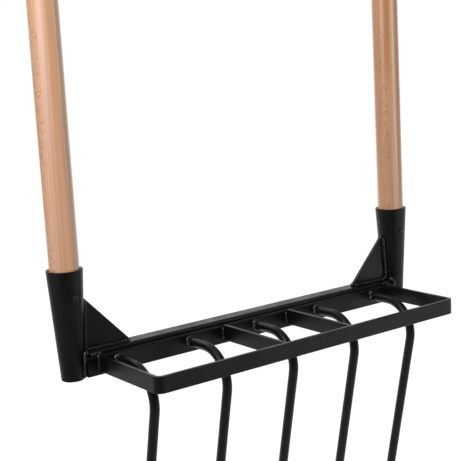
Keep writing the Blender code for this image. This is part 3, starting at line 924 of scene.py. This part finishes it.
bar_values = {"Thickness": bar_thickness, "Height": bar_height}
bar_values.update({"Bend Radius": HOOP_BEND, "Finish": enamel_bar})
plate_values = dict(bar_values, Thickness=plate_high.y - plate_low.y)
plate_values.update({"Height": plate_high.z - plate_low.z, "Edge Radius": PLATE_EDGE})
hoop_path = [
    (-hoop_half, hoop_high.y, hoop_z),
    (-hoop_half, hoop_front, hoop_z),
    (hoop_half, hoop_front, hoop_z),
    (hoop_half, hoop_high.y, hoop_z),
]
hoop = grow("bent_hoop", host_path("hoop_path", hoop_path), flat_bar, bar_values)
dress(hoop, "black_steel", "hoop")
for side, hand in HANDS:
    strut_path = [(side * strut_x, y, hoop_z) for y in (strut_high.y, strut_low.y)]
    strut = grow(f"{hand}_flat_strut", host_path("strut_path", strut_path), flat_bar, bar_values)
    dress(strut, "black_steel", f"{hand}_strut")
plate_path = [(x, plate_y, plate_z) for x in (plate_low.x, plate_high.x)]
plate = grow("flat_back_plate", host_path("plate_path", plate_path), flat_bar, plate_values)
dress(plate, "black_steel", "back_plate")
for piece in (hoop, strut, plate):
    print(piece.name, "measures", size_in_mm(piece))

# %% [markdown]
# ## Gussets
# A gusset is a triangle sheared from 5 mm plate that stops the sockets from folding in. Its
# outline has only five corners and nothing in it repeats, so it needs no tree: it is drawn,
# extruded and given small rounded edges.

# %% Cut the gussets
GUSSET_EDGE = 0.7 * MM
GUSSET_BLUNT = 1.5 * MM
gusset_low, gusset_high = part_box("right_gusset")


def gusset_shape(side):
    """Plate between the tube's top and a socket, mirrored for the left."""
    low, high = gusset_low.z, gusset_high.z
    outline = [
        (gusset_low.x, low),
        (socket_x - cone_radius(low) - GAP, low),
        (socket_x - cone_radius(high) - GAP, high),
        (socket_x - cone_radius(high) - GAP - GUSSET_BLUNT, high),
        (gusset_low.x, low + GUSSET_BLUNT),
    ]
    shape = bmesh.new()
    flat = shape.faces.new([shape.verts.new((side * x, gusset_low.y, z)) for x, z in outline])
    grown = bmesh.ops.extrude_face_region(shape, geom=[flat])["geom"]
    moved = [item for item in grown if isinstance(item, bmesh.types.BMVert)]
    bmesh.ops.translate(shape, verts=moved, vec=(0.0, gusset_high.y - gusset_low.y, 0.0))
    eased = {"offset": GUSSET_EDGE, "segments": 3, "profile": 0.5, "affect": "EDGES"}
    bmesh.ops.bevel(shape, geom=shape.edges[:], **eased)
    return shape


for side, hand in HANDS:
    gusset = piece_from(f"{hand}_gusset_plate", gusset_shape(side), enamel_bar)
    dress(gusset, "black_steel", f"{hand}_gusset")
    print(gusset.name, "measures", size_in_mm(gusset))

# %% [markdown]
# ## Tines
# A tine is round bar, welded square to the plate, bent down over a former and drawn to a point.
# Five of them follow one rule, so one tree makes them all: round the corner of a three-point
# path, then sweep a circle along it that shrinks over the last stretch to the tip. A forged
# point is also a little uneven, so noise pushes the surface in and out.


# %% Helpers: even steps, a circle and dents
def measured(tree, curve, spacing):
    """A curve with even points, the distance along it and its whole length."""
    feeds = {"Curve": curve, "Length": spacing}
    even = node(tree, "GeometryNodeResampleCurve", feeds, mode="LENGTH").outputs[0]
    along = node(tree, "GeometryNodeSplineParameter").outputs["Length"]
    return even, along, node(tree, "GeometryNodeSplineLength").outputs["Length"]


def circle(tree, sides):
    """A circle of radius 1, to be scaled where it is swept."""
    feeds = {"Resolution": sides, "Radius": 1.0}
    return node(tree, "GeometryNodeCurvePrimitiveCircle", feeds).outputs[0]


def pushed_out(tree, mesh, scale, rest, amount):
    """A mesh moved along its normals by noise, inwards where the noise is under rest."""
    push = calc(tree, "*", calc(tree, "-", noisy(tree, None, scale, 1.0), rest), amount)
    outward = node(tree, "GeometryNodeInputNormal").outputs[0]
    shift = node(tree, "ShaderNodeVectorMath", {0: outward, "Scale": push}, operation="SCALE")
    feeds = {"Geometry": mesh, "Offset": shift.outputs["Vector"]}
    return node(tree, "GeometryNodeSetPosition", feeds).outputs[0]


tine_low, tine_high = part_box("tine_1")
print("a tine is", round((tine_high.z - tine_low.z) / MM, 1), "mm tall")

# %% [markdown]
# The bar gets thinner by a power of the distance that is left to the tip. That gives the full,
# slightly rounded point of a forged tine, where a straight cone would look sharpened.

# %% Tree: a bent and pointed tine
TINE_SPACING = 2.5 * MM
TINE_BEND_STEPS = 40
TINE_SIDES = 32
POINT_CURVE = 0.585
DENT_SCALE = 60.0
DENT_REST = 0.65


def tine_tree():
    """Sweeps a circle along a bent path and draws its end to a point."""
    values = {
        "Bar Radius": 6.0 * MM,
        "Bend Radius": 42.0 * MM,
        "Taper Length": 50.0 * MM,
        "Tip Radius": 1.5 * MM,
        "Hammering": 0.12 * MM,
    }
    tree, given, result = new_grower("tine", values)
    bent = rounded_host(tree, given["Geometry"], given["Bend Radius"], TINE_BEND_STEPS)
    even, along, whole = measured(tree, bent, TINE_SPACING)
    to_go = calc(tree, "-", whole, along)
    left = calc(tree, "/", to_go, given["Taper Length"], clamp=True)
    more = calc(tree, "-", given["Bar Radius"], given["Tip Radius"])
    thicker = calc(tree, "*", calc(tree, "POWER", left, POINT_CURVE), more)
    radius = calc(tree, "+", given["Tip Radius"], thicker)
    bar = swept(tree, even, circle(tree, TINE_SIDES), radius)
    dented = pushed_out(tree, bar, DENT_SCALE, DENT_REST, given["Hammering"])
    hand_out(tree, dented, given["Finish"], result)
    return tree


tine = tine_tree()
print("tine tree:", len(tine.nodes), "nodes")

# %% [markdown]
# A tine's path has three points: its root on the plate, the corner where its two straight parts
# would meet, and its tip. The run is the straight part before the bend, and the bend's radius
# and angle say how far beyond the run that corner lies.

# %% Bend the tines
TINE_COUNT = 5
TINE_RADIUS = 6.0 * MM
TINE_RUN = 29.9 * MM
TINE_BEND_RADIUS = 41.0 * MM
TINE_BEND = math.radians(103.1)


def tine_path(number):
    """Root, corner and tip of a tine's centre line, from its node's box."""
    low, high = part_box(f"tine_{number}")
    x = (low.x + high.x) / 2
    root_z = high.z - TINE_RADIUS
    corner_y = high.y - TINE_RUN - TINE_BEND_RADIUS * math.tan(TINE_BEND / 2)
    tip_y = corner_y - (root_z - low.z) / math.tan(TINE_BEND)
    return [(x, high.y, root_z), (x, corner_y, root_z), (x, tip_y, low.z)]


tine_values = {"Bar Radius": TINE_RADIUS, "Bend Radius": TINE_BEND_RADIUS, "Finish": enamel_round}
for number in range(1, TINE_COUNT + 1):
    host = host_path("tine_path", tine_path(number))
    bar = grow(f"bent_tine_{number}", host, tine, tine_values)
    dress(bar, "black_steel", f"tine_{number}")
    print(bar.name, "measures", size_in_mm(bar))

# %% [markdown]
# ## Weld beads
# A bead is laid in overlapping puddles, so it swells and drops again and again along its run. A
# bump alone would leave its outline straight, so the ripple is real shape. In the tree, the
# run's length divided by the puddle's length leaves a remainder that climbs from 0 to 1 and
# falls back: that saw tooth shapes the radius. A welder waits a moment where the arc is struck,
# so a bead can be fatter at its start, and noise makes it hand work.


# %% Helpers: the ends of a bead
BLUNT_END = 1.02


def nearest_start(tree, along, whole, cyclic):
    """Distance back to the bead's start, the shorter way round where it is a ring."""
    back = calc(tree, "+", calc(tree, "-", whole, along), calc(tree, "-", 1.0, cyclic))
    return calc(tree, "MINIMUM", along, back)


def end_roundness(tree, along, whole, radius):
    """1 along a bead, falling like a quarter circle over the last stretch to either end."""
    nearest = calc(tree, "MINIMUM", along, calc(tree, "-", whole, along))
    inward = calc(tree, "-", 1.0, calc(tree, "/", nearest, radius, clamp=True))
    return calc(tree, "SQRT", calc(tree, "-", BLUNT_END, calc(tree, "*", inward, inward)))


print("a bead's very end keeps", round(math.sqrt(BLUNT_END - 1), 2), "of its radius")

# %% [markdown]
# The radius is a product of four shares: the ripple of the puddles, slow lumps, the round ends
# and the swell at the start. A ring has no ends, so it keeps its full radius there.

# %% Tree: a weld bead along a path
BEAD_CORNER_STEPS = 8
BEAD_SIDES = 24
STEPS_IN_A_PUDDLE = 10
LUMP_SCALE = 150.0
KNOB_SCALE = 300.0
KNOB_REST = 0.5


def weld_tree():
    """Sweeps a rippled, lumpy bead along a path and closes its ends."""
    values = {
        "Bead Radius": 2.6 * MM,
        "Puddle": 2.8 * MM,
        "Ripple Depth": 0.11,
        "Lumps": 0.55,
        "Start Swell": 0.0,
        "Swell Length": 7.0 * MM,
        "Knobs": 0.8 * MM,
        "Corner Radius": 4.0 * MM,
    }
    tree, given, result = new_grower("weld_bead", values)
    bent = rounded_host(tree, given["Geometry"], given["Corner Radius"], BEAD_CORNER_STEPS)
    spacing = calc(tree, "*", given["Puddle"], 1 / STEPS_IN_A_PUDDLE)
    even, along, whole = measured(tree, bent, spacing)
    phase = calc(tree, "FRACT", calc(tree, "/", along, given["Puddle"]))
    dip = calc(tree, "*", calc(tree, "*", phase, phase), given["Ripple Depth"])
    ripple = calc(tree, "-", 1.0, dip)
    lumps = calc(tree, "-", noisy(tree, None, LUMP_SCALE, 2.0), 0.5)
    lump = calc(tree, "+", 1.0, calc(tree, "*", lumps, given["Lumps"]))
    cyclic = node(tree, "GeometryNodeInputSplineCyclic").outputs[0]
    round_end = end_roundness(tree, along, whole, given["Bead Radius"])
    start = nearest_start(tree, along, whole, cyclic)
    far = calc(tree, "/", start, given["Swell Length"], clamp=True)
    swell = calc(tree, "*", spread(tree, far, 0.0, 1.0, 1.0, 0.0), given["Start Swell"])
    ends = calc(tree, "*", calc(tree, "MAXIMUM", round_end, cyclic), calc(tree, "+", swell, 1.0))
    full = calc(tree, "*", ends, given["Bead Radius"])
    radius = calc(tree, "*", calc(tree, "*", ripple, lump), full)
    bead = swept(tree, even, circle(tree, BEAD_SIDES), radius)
    knobbed = pushed_out(tree, bead, KNOB_SCALE, KNOB_REST, given["Knobs"])
    hand_out(tree, knobbed, given["Finish"], result)
    return tree


weld = weld_tree()
print("weld tree:", len(weld.nodes), "nodes")

# %% [markdown]
# The beads sit in the corners between pieces, sunk a little into both, as molten metal does. A
# gusset has one along its foot and up its side. A socket's bead follows the seam over the tube's
# top and down its face. In front that bead starts fat on the tube and sinks deeper below the
# tines.

# %% Runs along the gussets and sockets
BEAD = 2.5 * MM
SEAT = 1.5 * MM
FRONT_SEAT = 1.8 * MM
FRONT_RISE = 0.6 * MM
SUNK_SEAT = 1.2 * MM
gusset_y = (gusset_low.y + gusset_high.y) / 2
gusset_half = (gusset_high.y - gusset_low.y) / 2
# Each spot of a run has an angle from the crossbar, a height and a distance from the socket
FRONT_SPOTS = (
    (30, FRONT_RISE, FRONT_SEAT),
    (42, FRONT_RISE, FRONT_SEAT),
    (51, -3 * MM, FRONT_SEAT),
    (51, -9 * MM, FRONT_SEAT),
    (51, -14 * MM, SUNK_SEAT),
    (51, -29.5 * MM, SUNK_SEAT),
)
REAR_SPOTS = (
    (24, SEAT, SEAT),
    (38, SEAT, SEAT),
    (52, SEAT, SEAT),
    (64, SEAT, SEAT),
    (74, -2 * MM, SEAT),
    (74, -12 * MM, SEAT),
    (74, -21 * MM, SEAT),
)


def gusset_run(side, facing):
    """Along a gusset's foot, then up the socket."""
    y = gusset_y + facing * (gusset_half + SEAT)
    high = gusset_high.z - BEAD
    corner = socket_x - cone_radius(SEAT) - SEAT
    return [
        (side * (gusset_low.x + BEAD), y, SEAT),
        (side * corner, y, SEAT),
        (side * (socket_x - cone_radius(high) - SEAT), y, high),
    ]


def beside_socket(side, facing, degrees, z, out):
    """A point on the seam round a socket, at an angle from the crossbar."""
    angle = math.radians(degrees)
    radius = cone_radius(z) + out
    x = socket_x - radius * math.cos(angle)
    return (side * x, socket_y + facing * radius * math.sin(angle), z)


def socket_run(side, facing):
    """Over the tube's top beside a socket, then down the tube's face."""
    spots = FRONT_SPOTS if facing < 0 else REAR_SPOTS
    return [beside_socket(side, facing, *spot) for spot in spots]


print("points of a socket's run:", len(FRONT_SPOTS), "in front and", len(REAR_SPOTS), "behind")

# %% [markdown]
# A ring of weld closes round each tine's root. Here and at the hoop's ends most of the metal
# sits in one blob, where the weld began. All the beads are then laid by one helper, which keeps
# them in a list to be counted.

# %% Lay the beads
SWELL_REACH = 7.0 * MM
FRONT_SHAPE = {"radius": 2.4 * MM, "swell": 0.5, "reach": 16.0 * MM}
HOOP_SHAPE = {"radius": 1.7 * MM, "swell": 1.2}
HOOP_SEAT = 0.5 * MM
HOOP_RISE = 2.2 * MM
RING_SHAPE = {"closed": True, "radius": 1.25 * MM, "swell": 2.6, "reach": 8.0 * MM}
RING_SEAT = 0.4 * MM
RING_START = 150
RING_STEPS = 24
tine_root_z = tine_high.z - TINE_RADIUS
beads = []


def tine_ring(number):
    """Points of a ring that hugs a tine's root, a little fuller on the left, where it begins."""
    low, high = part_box(f"tine_{number}")
    centre = ((low.x + high.x) / 2 - RING_SEAT, tine_root_z)
    radius = TINE_RADIUS + RING_SEAT
    around = arc(centre, radius, RING_START, RING_START + 360, RING_STEPS)[:-1]
    return [(u, high.y - RING_SEAT, v) for u, v in around]


def lay_bead(node_name, points, closed=False, radius=BEAD, swell=0.0, reach=SWELL_REACH):
    """Grows the bead that stands for a weld's node."""
    values = {"Bead Radius": radius, "Start Swell": swell, "Swell Length": reach}
    host = host_path("bead_path", points, closed)
    name = node_name.replace("weld", "bead")
    bead = grow(name, host, weld, {**values, "Finish": enamel_weld})
    dress(bead, "weld", node_name)
    beads.append(bead)


for side, hand in HANDS:
    for facing, end in ((-1, "front"), (1, "rear")):
        lay_bead(f"{hand}_gusset_weld_{end}", gusset_run(side, facing))
        shape = FRONT_SHAPE if facing < 0 else {}
        lay_bead(f"{hand}_socket_weld_{end}", socket_run(side, facing), **shape)
    stitch_low, stitch_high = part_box(f"{hand}_plate_weld")
    y, z = plate_high.y - SEAT, plate_high.z + SEAT
    lay_bead(f"{hand}_plate_weld", [(stitch_low.x + BEAD, y, z), (stitch_high.x - BEAD, y, z)])
    x, y = side * (hoop_high.x + HOOP_SEAT), plate_low.y - HOOP_SEAT
    upright = [(x, y, hoop_high.z + HOOP_RISE), (x, y, hoop_low.z + BEAD)]
    lay_bead(f"{hand}_hoop_weld", upright, **HOOP_SHAPE)
    x = side * strut_x - bar_thickness / 2 - SEAT
    for end, y in (("plate", plate_low.y - SEAT), ("hoop", hoop_low.y + bar_thickness + SEAT)):
        upright = [(x, y, hoop_low.z + BEAD), (x, y, hoop_high.z - BEAD)]
        lay_bead(f"{hand}_strut_weld_{end}", upright)
for number in range(1, TINE_COUNT + 1):
    lay_bead(f"tine_{number}_weld", tine_ring(number), **RING_SHAPE)
print(len(beads), "beads with", sum(len(bead.data.polygons) for bead in beads), "faces")

# %% [markdown]
# ## Handle screws
# Two round head screws hold each handle: one in front and one on the side towards the other
# handle. The head is turned as a low dome. A turned shape can't have a slot across it, so a
# Boolean cuts that one out of the finished head.

# %% Make one screw
SHANK = 1.8 * MM
HEAD_HEIGHT = 2.0 * MM
HEAD_EDGE = 0.2 * MM
HEAD_RIM = 0.35
HEAD_SIDES = 48
SLOT_WIDTH = 1.0 * MM
SLOT_DEPTH = 1.0 * MM
SLOT_TURN = math.radians(80)
screw_low, screw_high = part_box("right_handle_screw")
head_radius = (screw_high.x - screw_low.x) / 2
screw_length = screw_high.y - screw_low.y - HEAD_HEIGHT


def turn_shape(shape, angle, axis):
    """Turns a shape about one axis through the origin."""
    matrix = Matrix.Rotation(angle, 3, axis)
    bmesh.ops.rotate(shape, verts=shape.verts, cent=(0, 0, 0), matrix=matrix)


def screw_head():
    """Domed head along -Y with its underside at the origin, on a short shank."""
    foot = -screw_length
    profile = [(0.0, foot), (SHANK * 0.3, foot), (SHANK, foot + 2 * SHANK), (SHANK, 0.0)]
    profile += [(head_radius - HEAD_EDGE, 0.0), (head_radius, HEAD_EDGE)]
    for degrees in range(0, 90, 10):
        angle = math.radians(degrees)
        rise = HEAD_RIM + (1 - HEAD_RIM) * math.sin(angle)
        profile.append((head_radius * math.cos(angle), HEAD_HEIGHT * rise))
    profile.append((0.0, HEAD_HEIGHT))
    shape = turned(profile, HEAD_SIDES)
    turn_shape(shape, math.pi / 2, "X")
    return piece_from("screw_pattern", shape, enamel_screw)


def cut_slot(head):
    """Cuts the driver's slot across the dome."""
    shape = bmesh.new()
    bmesh.ops.create_cube(shape, size=1.0)
    size = (4 * head_radius, 2 * SLOT_DEPTH, SLOT_WIDTH)
    bmesh.ops.scale(shape, vec=size, verts=shape.verts)
    turn_shape(shape, SLOT_TURN, "Y")
    cutter = piece_from("slot_cutter", shape, enamel_screw, (0.0, -HEAD_HEIGHT, 0.0))
    cut = head.modifiers.new("slot", "BOOLEAN")
    cut.object = cutter
    cut.operation = "DIFFERENCE"
    mesh = evaluated_mesh(head)
    head.modifiers.clear()
    head.data = mesh
    bpy.data.objects.remove(cutter, do_unlink=True)


pattern = screw_head()
cut_slot(pattern)
print(pattern.name, "has", len(pattern.data.polygons), "faces")

# %% [markdown]
# All four screws are the same. The pattern could be copied and turned by hand, but a tree can
# set it on a seat and turn it to face out of the socket in one go. The pattern itself is then
# taken away.

# %% Set the screws
side_screw_low, side_screw_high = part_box("right_handle_side_screw")
screw_z = (screw_high.z + screw_low.z) / 2
side_screw_z = (side_screw_high.z + side_screw_low.z) / 2


def screw_tree():
    """Sets one screw on every point of the host, turned about Z by the given angle."""
    values = {"Screw": "NodeSocketObject", "Turn": 0.0}
    tree, given, result = new_grower("handle_screws", values)
    screw = node(tree, "GeometryNodeObjectInfo", {"Object": given["Screw"]}).outputs["Geometry"]
    turn = node(tree, "ShaderNodeCombineXYZ", {"Z": given["Turn"]}).outputs[0]
    feeds = {"Points": given["Geometry"], "Instance": screw, "Rotation": turn}
    placed = node(tree, "GeometryNodeInstanceOnPoints", feeds).outputs[0]
    hand_out(tree, placed, given["Finish"], result)
    return tree


setting = screw_tree()
for side, hand in HANDS:
    front = (side * socket_x, screw_low.y + HEAD_HEIGHT, screw_z)
    inner = (side * (side_screw_low.x + HEAD_HEIGHT), socket_y, side_screw_z)
    seats = (("handle_screw", front, 0.0), ("handle_side_screw", inner, -side * math.pi / 2))
    for name, seat, turn in seats:
        values = {"Screw": pattern, "Turn": turn, "Finish": enamel_screw}
        screw = grow(f"{hand}_domed_{name}", host_path("screw_seat", [seat]), setting, values)
        dress(screw, "screw", f"{hand}_{name}")
bpy.data.objects.remove(pattern, do_unlink=True)
print(screw.name, "measures", size_in_mm(screw))

# %% [markdown]
# ## Floor and sky
# The fork stands on a plain white floor under a white sky. Black enamel shows little but what it
# mirrors, so an all white room would make it look grey. A camera ray therefore sees both as
# white, while a mirrored ray sees them darker towards the photographer's side of the room. That
# is what makes the enamel look black from the front, with pale stripes only where a round piece
# turns towards the bright side.

# %% Helpers: what each kind of ray sees
PHOTOGRAPHER = Vector((-1.0, -1.2, 0.0))
ROOM_LEVEL = 0.05
WHITE = (1.0, 1.0, 1.0, 1.0)


def room_level(tree, direction, photographer):
    """What gloss shows in a direction, from white behind the fork to dark in front of it."""
    facing = vector_calc(tree, "DOT_PRODUCT", direction, photographer)
    return spread(tree, facing, -0.95, -0.3, 1.0, ROOM_LEVEL)


def seen_level(tree, mirrored_level, plain_level):
    """1 for a camera, one level for a ray from gloss or glass, another for plain light."""
    path = node(tree, "ShaderNodeLightPath").outputs
    mirrored = calc(tree, "MAXIMUM", path["Is Glossy Ray"], path["Is Transmission Ray"])
    unseen = calc(tree, "*", calc(tree, "-", 1.0, mirrored), plain_level)
    level = calc(tree, "+", unseen, calc(tree, "*", mirrored, mirrored_level))
    return calc(tree, "MAXIMUM", path["Is Camera Ray"], level)


print("the dark side of the room has a level of", ROOM_LEVEL)

# %% [markdown]
# The floor is one wide disc. Mirrored in the lower sides of the steel, it is darker near the
# photographer and to the left, and far away it fades into the same room as the sky.

# %% Lay the floor
FLOOR_RADIUS = 90.0
FLOOR_SIDES = 96
FLOOR_LIFT = 0.90
WALL_LEVEL = 0.20
NEAR_REACH = (0.6, 2.0)
WALL_REACH = (-1.0, -0.4)
FAR_REACH = (2.6, 4.8)


def floor_level(tree):
    """What gloss shows of the floor: darker near the photographer, on the left and far away."""
    spot = node(tree, "ShaderNodeNewGeometry").outputs["Position"]
    stand = (PHOTOGRAPHER.x, PHOTOGRAPHER.y, cad_low.z)
    away = vector_calc(tree, "DISTANCE", spot, stand)
    leftward = node(tree, "ShaderNodeSeparateXYZ", {0: spot}).outputs["X"]
    near = spread(tree, away, *NEAR_REACH, ROOM_LEVEL, 1.0)
    near = calc(tree, "*", near, spread(tree, leftward, *WALL_REACH, WALL_LEVEL, 1.0))
    outward = vector_calc(tree, "NORMALIZE", spot)
    room = room_level(tree, outward, tuple(PHOTOGRAPHER.normalized()))
    far = spread(tree, vector_calc(tree, "LENGTH", spot), *FAR_REACH)
    lost = calc(tree, "*", far, calc(tree, "-", 1.0, room))
    return calc(tree, "*", near, calc(tree, "-", 1.0, lost))


floor_paint, floor_tree, floor_shader = new_material("white_floor")
seen = seen_level(floor_tree, floor_level(floor_tree), 0.0)
floor_surface = {
    "Base Color": (0.18, 0.18, 0.18, 1.0),
    "Roughness": 0.9,
    "Emission Color": WHITE,
    "Emission Strength": calc(floor_tree, "*", seen, FLOOR_LIFT),
}
feed(floor_tree, floor_shader, floor_surface)
floor_shape = bmesh.new()
bmesh.ops.create_circle(floor_shape, cap_ends=True, radius=FLOOR_RADIUS, segments=FLOOR_SIDES)
floor = piece_from("floor", floor_shape, floor_paint, (0.0, 0.0, cad_low.z))
floor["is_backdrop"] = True
print("floor at", round(cad_low.z / MM, 1), "mm")

# %% [markdown]
# The sky is a plain background, darker overhead for a mirrored ray, and it adds a soft light of
# its own from all around.

# %% Hang the sky
CEILING_LEVEL = 0.40
CEILING_REACH = (-0.75, -0.35)
SKY_LIGHT = 0.45
sky = bpy.data.worlds.new("studio_sky")
sky.use_nodes = True
sky_tree = sky.node_tree
incoming = node(sky_tree, "ShaderNodeNewGeometry").outputs["Incoming"]
room = room_level(sky_tree, incoming, tuple(-PHOTOGRAPHER.normalized()))
height = node(sky_tree, "ShaderNodeSeparateXYZ", {0: incoming}).outputs["Z"]
overhead = spread(sky_tree, height, *CEILING_REACH, CEILING_LEVEL, 1.0)
seen = seen_level(sky_tree, calc(sky_tree, "*", room, overhead), SKY_LIGHT)
feed(sky_tree, sky_tree.nodes["Background"], {"Color": WHITE, "Strength": seen})
bpy.context.scene.world = sky
print("sky tree:", len(sky_tree.nodes), "nodes")

# %% [markdown]
# ## Soft boxes
# Where a lamp stands decides which face mirrors it. The key hangs high on the left, where no
# upright face can mirror it. A low box and two strips beside the fork draw the long highlights
# on the handles, a lamp behind lights the tops and rims, and one overhead fills the rest.


# %% Place the soft boxes
def soft_box(name, place, target, size, power):
    """A rectangular area lamp aimed at a point."""
    lamp = bpy.data.lights.new(name, "AREA")
    lamp.shape = "RECTANGLE"
    lamp.size, lamp.size_y = size
    lamp.energy = power
    made = new_object(name, lamp)
    made.location = place
    made.rotation_euler = (Vector(target) - Vector(place)).to_track_quat("-Z", "Y").to_euler()
    made.visible_camera = False


# Each lamp has a name, a place, a target, a width and height in metres, and a power in watts
SOFT_BOXES = (
    ("key_soft_box", (-1.60, -0.60, 1.60), (0.0, 0.0, 0.40), (1.2, 1.2), 20.0),
    ("low_left_box", (-1.25, -0.05, 0.10), (0.0, 0.0, 0.10), (1.0, 0.5), 1.0),
    ("back_soft_box", (-0.40, 1.70, 1.90), (0.0, 0.0, 0.40), (2.0, 1.0), 14.0),
    ("left_strip", (-0.80, -0.38, 0.80), (-0.27, 0.0, 0.80), (0.60, 1.0), 4.7),
    ("right_strip", (0.50, -0.56, 0.62), (0.27, 0.0, 0.62), (0.12, 1.1), 1.5),
    ("top_soft_box", (0.0, 0.2, 2.6), (0.0, 0.0, 0.0), (2.2, 2.2), 10.0),
)
for values in SOFT_BOXES:
    soft_box(*values)

# %% [markdown]
# ## Camera
# The camera stands where the photographer stood: a little above the crossbar, to the left of the
# fork, turned 36 degrees and tilted down by 10. Its axes are written out from those angles, and
# its lens follows from the width of the view.

# %% Place the camera
CAMERA_PLACE = Vector((-860.2, -1141.5, 362.3)) * MM
TURN = math.radians(-36.318)
TILT = math.radians(-10.042)
ROLL = math.radians(-3.168)
FOCAL_WIDTHS = 2.41168
SENSOR = 36.0

ahead = Vector((-math.sin(TURN) * math.cos(TILT), math.cos(TURN) * math.cos(TILT), math.sin(TILT)))
level = Vector((math.cos(TURN), math.sin(TURN), 0.0))
upward = level.cross(ahead)
across = level * math.cos(ROLL) + upward * math.sin(ROLL)
above = upward * math.cos(ROLL) - level * math.sin(ROLL)
lens = bpy.data.cameras.new("camera")
lens.sensor_width = SENSOR
lens.lens = SENSOR * FOCAL_WIDTHS
camera = new_object("camera", lens)
camera.matrix_world = Matrix((across, above, -ahead)).transposed().to_4x4()
camera.location = CAMERA_PLACE
bpy.context.scene.camera = camera
bpy.context.scene.view_settings.view_transform = "Standard"
print("lens", round(lens.lens, 1), "mm")

# %% [markdown]
# ## The dressed box
# The dressed fork must fill the same box as the imported one. The dressed box is measured, and
# how far its high corner lies beyond the imported one is printed.

# %% Measure the dressed box
seen_low, seen_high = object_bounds()
grown = [round((b - a) / MM, 2) for a, b in zip(cad_high, seen_high)]
print("grown by", grown, "mm at the high corner")
